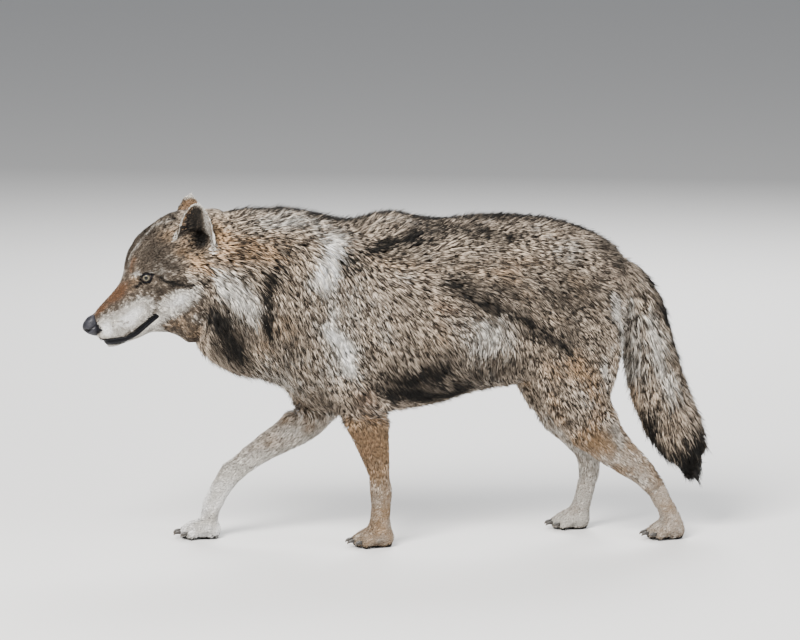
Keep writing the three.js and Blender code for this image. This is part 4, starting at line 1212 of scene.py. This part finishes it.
def coat_group():
    """The colour of the coat from where along a lock a point is, from chance and from the markings."""
    if "WolfCoat" in bpy.data.node_groups:
        return bpy.data.node_groups["WolfCoat"]
    group = bpy.data.node_groups.new("WolfCoat", "ShaderNodeTree")
    face = group.interface
    for name in CHANNELS:
        face.new_socket(name, in_out="INPUT", socket_type="NodeSocketFloat")
    for name in PALETTE:
        face.new_socket(name.capitalize() + " colour", in_out="INPUT", socket_type="NodeSocketColor")
    face.new_socket("Color", in_out="OUTPUT", socket_type="NodeSocketColor")
    face.new_socket("Roughness", in_out="OUTPUT", socket_type="NodeSocketFloat")
    n = Nodes(group)
    given = n.add("NodeGroupInput").outputs
    along, chance, grizzle, clump, *amounts = given[: len(CHANNELS)]
    under, band, tip, *shades = given[len(CHANNELS) : len(CHANNELS) + len(PALETTE)]
    pale = amounts[PALE]

    # A grizzled hair: dark at the root, partly the hair's own colour and partly painted shade deep in the
    # coat, with a pale band, and on many hairs a dark tip.
    lively = n.math("MULTIPLY_ADD", chance, 0.55, n.math("MULTIPLY", clump, 0.55))
    lively = n.math("MULTIPLY_ADD", n.math("SUBTRACT", grizzle, 0.5), 0.5, lively)
    light = n.ramp(lively, 0.26, 0.84)
    hair = n.mix(light, n.mix(0.93, band, under), n.tinted(band, SUNLIT))
    reach = n.math("MULTIPLY_ADD", grizzle, 0.7, n.math("MULTIPLY", n.math("SUBTRACT", clump, 0.5), 0.4))
    tipped = n.ramp(n.math("SUBTRACT", reach, n.math("MULTIPLY", chance, 0.8)), -0.08, 0.08)
    dark_tip = n.math("MULTIPLY", n.ramp(along, 0.40, 0.72), n.math("MULTIPLY", tipped, 0.96))
    dark_tip = n.math("MULTIPLY", dark_tip, n.ramp(pale, 0.4, 0.9, 1.0, 0.12))

    spread = n.math("SUBTRACT", n.math("MULTIPLY_ADD", chance, 0.5, n.math("MULTIPLY", clump, 0.5)), 0.5)
    shades[PALE] = n.mix(n.ramp(pale, 0.8, 1.0), shades[PALE], PURE_WHITE)
    loose = (0.9, 0.7, 0.8, 0.8)  # how far chance moves each tone from lock to lock
    darkest = (0.4, 0.55, n.ramp(pale, 0.85, 1.0, 0.6, 0.84), 0.6)  # how dark its darkest locks are
    for column, (shade, amount) in enumerate(zip(shades, amounts)):
        share = n.ramp(n.math("MULTIPLY_ADD", spread, loose[column], amount), 0.12, 0.84)
        level = n.add("ShaderNodeCombineColor")
        strength = n.ramp(light, 0, 1, darkest[column], 1.12)
        for socket in level.inputs[:3]:
            n.set(socket, strength)
        if column == DARK:
            # Towards its root each lock darkens to the root colour, less under pale hair: partly the hair's
            # own colour, partly painted shade deep in the coat.
            root = n.mix(n.ramp(pale, 0.3, 0.9), under, n.tinted(hair, UNDERFUR_AND_SHADE))
            hair = n.mix(dark_tip, n.mix(n.ramp(along, 0.1, 0.55), root, hair), tip)
        hair = n.mix(share, hair, n.tinted(shade, level.outputs[0]))
    out = n.add("NodeGroupOutput").inputs
    n.set(out[0], hair)
    n.set(out[1], n.ramp(chance, 0.0, 1.0, 0.6, 0.8))
    return group


def surface(name, **constants):
    """A material with plain constants set: it, its nodes, its shader's inputs, and the colours."""
    material = bpy.data.materials.new(name)
    material.use_nodes = True
    shader = material.node_tree.nodes["Principled BSDF"].inputs
    for socket, value in constants.items():
        shader[socket.replace("_", " ")].default_value = value
    return material, Nodes(material.node_tree), shader, settings()[1]


def place_coat_group(n, colours, channels):
    """Wires the coat's colour and roughness to the shader, and gives the colour."""
    group = n.add("ShaderNodeGroup", node_tree=coat_group())
    for socket, value in zip(group.inputs, (*channels, *n.attribute("marks"))):
        n.set(socket, value)
    for name in PALETTE:
        group.inputs[name.capitalize() + " colour"].default_value = getattr(colours, name)
    return group.outputs


def coat_material():
    """Hair of the coat, coloured lock by lock."""
    if "coat" in bpy.data.materials:
        return bpy.data.materials["coat"]
    material, n, shader, colours = surface("coat", Specular_IOR_Level=0.12)
    colour, roughness = place_coat_group(n, colours, n.attribute("coat"))
    n.set(shader["Base Color"], colour)
    n.set(shader["Roughness"], roughness)
    n.set(shader["Normal"], n.bump(n.noise(900, 3), 0.5, 0.0006))
    return material


def skin_material():
    """The skin and the short fur on it, bare and dark on the lids and the lips."""
    material, n, shader, colours = surface("skin", Specular_IOR_Level=0.1)
    fine = n.noise(420, 4)
    # The noise stands for the place along a lock, so where it is low the skin darkens towards the root
    # colour: partly painted shade among the locks.
    colour, _ = place_coat_group(n, colours, (n.math("MULTIPLY", fine, 1.1), fine, 0.15, 0.5))
    wet = n.ramp(n.attribute("bare")[0], 0.25, 0.6)
    lips = [LIP_DARKNESS * level for level in colours.leather[:3]]
    n.set(shader["Base Color"], n.mix(wet, colour, (*lips, 1)))
    n.set(shader["Roughness"], n.ramp(wet, 0, 1, 0.75, 0.45))
    n.set(shader["Normal"], n.bump(fine, 0.6, 0.0008))
    return material


def leather_material():
    """Pebbled bare skin of the nose, black within the nostrils as painted shade."""
    material, n, shader, colours = surface(
        "nose_leather", Specular_IOR_Level=0.3, Coat_Weight=0.06, Coat_Roughness=0.25
    )
    cells = n.add("ShaderNodeTexVoronoi", feature="SMOOTH_F1")
    cells.inputs["Scale"].default_value = 520
    n.set(cells.inputs["Vector"], n.place())
    worn = n.noise(90, 3)
    lit = n.mix(n.ramp(worn, 0.4, 0.7), colours.leather[:], (0.026, 0.026, 0.034, 1))
    # Painted shade: the nostrils' dents are coloured black for the dark inside a nostril.
    painted_nostril_shade = n.ramp(n.attribute("nostril")[0], 0.25, 0.75)
    n.set(shader["Base Color"], n.mix(painted_nostril_shade, lit, (0.001, 0.001, 0.001, 1)))
    n.set(shader["Roughness"], n.ramp(worn, 0.3, 0.7, 0.42, 0.58))
    n.set(shader["Normal"], n.bump(cells.outputs["Distance"], 0.7, 0.0007, invert=True))
    return material


def eye_material():
    """A pale iris with a dark ring and streaks, a pupil, and a wet dark white of the eye."""
    material, n, shader, colours = surface(
        "eye", Roughness=0.3, Specular_IOR_Level=0.12, Coat_Weight=0.3, Coat_Roughness=0.02
    )
    radial, around, _, _ = n.attribute("gaze")
    streaks = n.math("MULTIPLY", n.noise(60, 3), 0.05)
    wave = n.math("SINE", n.math("MULTIPLY", n.math("ADD", around, streaks), 260.0))
    colour = n.mix(n.ramp(wave, -1, 1, 0.0, 0.35), colours.iris[:], (0.06, 0.042, 0.022, 1))
    for start, full, shade in (
        (0.44, 0.30, (0.125, 0.112, 0.078, 1)),  # the lighter middle of the iris
        (0.49, 0.58, (0.02, 0.012, 0.008, 1)),  # its dark ring
        (0.31, 0.27, (0.002, 0.002, 0.002, 1)),  # the pupil
        (0.60, 0.68, (0.03, 0.02, 0.016, 1)),  # the white of the eye
    ):
        colour = n.mix(n.ramp(radial, start, full), colour, shade)
    n.set(shader["Base Color"], colour)
    return material


def claw_material():
    """Dark horn, paler and worn at the tip."""
    material, n, shader, colours = surface("claw_horn")
    grain = n.noise(240, 3)
    along = n.attribute("horn")[0]
    worn = n.ramp(n.math("ADD", along, n.math("MULTIPLY", grain, 0.3)), 0.75, 1.25)
    n.set(shader["Base Color"], n.mix(worn, colours.claw[:], (0.19, 0.155, 0.12, 1)))
    n.set(shader["Roughness"], n.ramp(grain, 0.3, 0.7, 0.34, 0.5))
    n.set(shader["Normal"], n.bump(grain, 0.25, 0.0005))
    return material


# ------------------------------------------------------------------ eyes, nose and claws

EYE_RINGS, EYE_SIDES = 40, 48
CORNEA = {"height": 0.05, "angle": 0.42}  # the clear bulge, in shares of the radius, and how wide it is
NOSTRIL_DEPTH = {"pit": 7.5, "slit": 4.5, "cleft": 1.8}
CLAW_SIDES, CLAW_STEPS = 10, 9


def ball_faces(rings, sides):
    """The triangles of a ball whose points run from its front point, ring by ring, to its rear point."""
    here = 1 + np.arange((rings - 1) * sides).reshape(rings - 1, sides)
    after = np.roll(here, -1, axis=1)
    quads = np.stack([here[:-1], here[1:], after[1:], after[:-1]], axis=-1).reshape(-1, 4)
    front = np.stack([np.zeros(sides, int), here[0], after[0]], axis=1)
    back = np.stack([np.full(sides, here[-1, -1] + 1), after[-1], here[-1]], axis=1)
    return np.vstack([front, quads[:, [0, 1, 2]], quads[:, [0, 2, 3]], back])


class WOLF_OT_eyes(bpy.types.Operator):
    """Makes both eyes, each a ball with a clear bulge over the iris"""

    bl_idname = "wolf.eyes"
    bl_label = "Eyes"

    def execute(self, context):
        material = eye_material()
        faces = ball_faces(EYE_RINGS, EYE_SIDES)
        turn = math.pi * np.arange(1, EYE_RINGS) / EYE_RINGS
        spin = 2 * math.pi * np.arange(EYE_SIDES) / EYE_SIDES
        bulge = 1 + CORNEA["height"] * np.exp(-((turn / CORNEA["angle"]) ** 4))
        flat = (np.sin(turn) * bulge)[:, None]
        from_front = np.where(turn > math.pi / 2, 1, np.sin(turn))
        radial = np.concatenate([[0], np.repeat(from_front, EYE_SIDES), [1]])
        half_turn = np.abs(np.arange(EYE_SIDES) / EYE_SIDES - 0.5)
        around = np.concatenate([[0], np.tile(half_turn, EYE_RINGS - 1), [0]])
        for name, side in (("left", -1), ("right", 1)):
            centre, gaze = on_head(EYE["forward"], side * EYE["side"], EYE["up"]), looking(EYE_AXIS, side)
            upward = unit(UP - gaze * (UP @ gaze))
            across = np.cross(gaze, upward)
            body = gaze * (np.cos(turn) * bulge)[:, None, None]
            body = body + upward * (flat * np.cos(spin))[..., None]
            body = body + across * (flat * np.sin(spin))[..., None]
            verts = np.vstack([gaze * bulge[0], body.reshape(-1, 3), -gaze]) * EYE["radius"] + centre
            mesh = mesh_from(f"eye_{name}_ball", verts * MM, faces)
            put_channels(mesh, "gaze", radial, around)
            obj = add_object(f"eye_{name}_ball", mesh, material)
            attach(obj, "root")
            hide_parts(f"eye_{name}")
        return {"FINISHED"}


class WOLF_OT_nose(bpy.types.Operator):
    """Rounds the nose and opens its nostrils"""

    bl_idname = "wolf.nose"
    bl_label = "Nose"

    def execute(self, context):
        work = bmesh.new()
        work.from_mesh(mesh_from("nose_solid", *welded("nose")))
        every_axis = {"use_axis_x": True, "use_axis_y": True, "use_axis_z": True}
        for _ in range(2):
            bmesh.ops.subdivide_edges(work, edges=work.edges[:], cuts=1, smooth=0.6, use_grid_fill=True)
            bmesh.ops.smooth_vert(work, verts=work.verts[:], factor=0.5, **every_axis)
        bmesh.ops.subdivide_edges(work, edges=work.edges[:], cuts=1, use_grid_fill=True)
        bmesh.ops.triangulate(work, faces=work.faces[:])
        mesh = bpy.data.meshes.new("nose_leather")
        work.to_mesh(mesh)
        work.free()

        places = coordinates(mesh) / MM
        normals = corner_normals(places, triangles_of(mesh))
        forward, side, up = in_head(places)
        pit = np.exp(-(((side - 8.5) / 4.4) ** 2 + ((up + 8) / 4.2) ** 2)) * smooth_step(230, 242, forward)
        rise = up + 12.5 - 0.15 * side
        slit = np.exp(-(((side - 13.5) / 4.0) ** 2 + (rise / 1.8) ** 2)) * smooth_step(228, 240, forward)
        cleft = np.exp(-((side / 1.3) ** 2)) * smooth_step(0, -8, up) * smooth_step(240, 248, forward)
        sunk = pit * NOSTRIL_DEPTH["pit"] + slit * NOSTRIL_DEPTH["slit"] + cleft * NOSTRIL_DEPTH["cleft"]
        reshape(mesh, places - normals * sunk[:, None])
        # This mask carries the painted shade of the nostrils to the nose's material.
        put_channels(mesh, "nostril", np.clip(1.3 * pit + slit, 0, 1))
        obj = add_object("nose_leather", mesh, leather_material())
        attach(obj, "root")
        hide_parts("nose")
        return {"FINISHED"}


class WOLF_OT_claws(bpy.types.Operator):
    """Draws each claw as a curved horn in the box of its solid"""

    bl_idname = "wolf.claws"
    bl_label = "Claws"

    def execute(self, context):
        verts, faces, horn = [], [], []
        for claw in CLAWS:
            low, high = (np.array(corner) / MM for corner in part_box(claw))
            middle = (low + high) / 2
            size = high - low
            start = np.array([high[0] + 1.5, middle[1], low[2] + 0.6 * size[2]])
            end = np.array([low[0] + 0.3 * size[0], middle[1], low[2] + 0.2 * size[2]])
            bend = np.array([low[0] + 0.5 * size[0], middle[1], low[2] + 0.78 * size[2]])
            base = len(verts)
            for t in np.arange(CLAW_STEPS) / (CLAW_STEPS - 1):
                core = (1 - t) ** 2 * start + 2 * t * (1 - t) * bend + t * t * end
                course = unit(2 * (1 - t) * (bend - start) + 2 * t * (end - bend))
                over = unit(np.cross([0.0, 1.0, 0.0], course))
                thick = 0.5 * size[1] * (1 - t**2.2) ** 0.75 + 0.25
                for corner in range(CLAW_SIDES):
                    angle = 2 * math.pi * corner / CLAW_SIDES
                    offset = np.array([0, 0.8 * math.cos(angle), 0]) + math.sin(angle) * over
                    verts.append(core + thick * offset)
                    horn.append(t)
            for step in range(CLAW_STEPS - 1):
                for corner in range(CLAW_SIDES):
                    row = base + step * CLAW_SIDES
                    a, b = row + corner, row + (corner + 1) % CLAW_SIDES
                    faces += [(a, a + CLAW_SIDES, b), (b, a + CLAW_SIDES, b + CLAW_SIDES)]
            last = base + (CLAW_STEPS - 1) * CLAW_SIDES
            for corner in range(1, CLAW_SIDES - 1):
                faces += [(base, base + corner, base + corner + 1), (last, last + corner + 1, last + corner)]
        verts = np.array(verts)
        verts[:, 2] = np.maximum(verts[:, 2], FLOOR_GAP)
        mesh = mesh_from("claws_horn", verts * MM, faces)
        put_channels(mesh, "horn", horn)
        obj = add_object("claws_horn", mesh, claw_material())
        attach(obj, "root")
        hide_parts(*CLAWS)
        return {"FINISHED"}


# ------------------------------------------------------------------ the stage

FLOOR_HALF = 30.0  # metres
CAMERA_TARGET = Vector((0.00225, 0, 0.4332))
SENSOR, LENS = 36, 207.7  # millimetres


def turned_to(direction):
    """The rotation of a lamp or a camera that looks along the direction."""
    return direction.to_track_quat("-Z", "Y").to_euler()


class WOLF_OT_stage(bpy.types.Operator):
    """Lays the floor, sets soft studio light and stands the camera"""

    bl_idname = "wolf.stage"
    bl_label = "Stage"

    def execute(self, context):
        _, _, stage = settings()
        paper, n, shader, _ = surface("studio_paper", Roughness=0.85)
        n.set(shader["Base Color"], (0.72, 0.715, 0.705, 1))
        corners = [(x * FLOOR_HALF, y * FLOOR_HALF, 0) for x, y in ((-1, -1), (1, -1), (1, 1), (-1, 1))]
        add_object("floor", mesh_from("floor", corners, [(0, 1, 2, 3)], smooth=False), paper)

        world = bpy.data.worlds.new("studio")
        world.use_nodes = True
        sky = world.node_tree.nodes["Background"].inputs
        sky["Color"].default_value = (0.92, 0.95, 1.0, 1)
        sky["Strength"].default_value = stage.sky
        context.scene.world = world

        for name, place, size, power, tint in (
            ("key", (-2.4, -3.6, 4.2), 2.6, stage.key, (1, 0.975, 0.94)),
            ("fill", (4.2, -2.8, 2.0), 3.0, stage.key * 0.2, (0.94, 0.97, 1)),
            ("rear", (1.2, 4.0, 3.4), 2.4, stage.key * 0.34, (1, 1, 1)),
        ):
            light = bpy.data.lights.new(name, "AREA")
            light.size, light.energy, light.color = size, power, tint
            lamp = bpy.data.objects.new(name, light)
            lamp.location = place
            lamp.rotation_euler = turned_to(CAMERA_TARGET - lamp.location)
            context.scene.collection.objects.link(lamp)

        azimuth, rise = stage.azimuth, stage.elevation
        level = math.cos(rise)
        back = Vector((math.sin(azimuth) * level, -math.cos(azimuth) * level, math.sin(rise)))
        lens = bpy.data.cameras.new("camera")
        lens.sensor_width, lens.lens = SENSOR, LENS
        camera = bpy.data.objects.new("camera", lens)
        camera.location = CAMERA_TARGET + back * stage.distance
        camera.rotation_euler = turned_to(-back)
        context.scene.collection.objects.link(camera)
        context.scene.camera = camera
        return {"FINISHED"}


class WOLF_PT_panel(bpy.types.Panel):
    """Lists the pieces of the wolf"""

    bl_idname = "WOLF_PT_panel"
    bl_label = "Grey wolf"
    bl_space_type = "VIEW_3D"
    bl_region_type = "UI"
    bl_category = "Wolf"

    def draw(self, context):
        for operator in OPERATORS:
            self.layout.operator(operator.bl_idname)
        for group in settings():
            for name in group.__annotations__:
                self.layout.prop(group, name)


OPERATORS = (WOLF_OT_skin, WOLF_OT_coat, WOLF_OT_eyes, WOLF_OT_nose, WOLF_OT_claws, WOLF_OT_stage)
GROUPS = {"wolf_coat": WolfCoatSettings, "wolf_colours": WolfColourSettings, "wolf_stage": WolfStageSettings}


def register():
    for cls in (*GROUPS.values(), *OPERATORS, WOLF_PT_panel):
        bpy.utils.register_class(cls)
    for name, group in GROUPS.items():
        setattr(bpy.types.Scene, name, PointerProperty(type=group))


def unregister():
    for name in GROUPS:
        delattr(bpy.types.Scene, name)
    for cls in reversed((*GROUPS.values(), *OPERATORS, WOLF_PT_panel)):
        bpy.utils.unregister_class(cls)


def main():
    register()
    for operator in OPERATORS:
        group, name = operator.bl_idname.split(".")
        getattr(getattr(bpy.ops, group), name)()


if __name__ == "__main__":
    main()
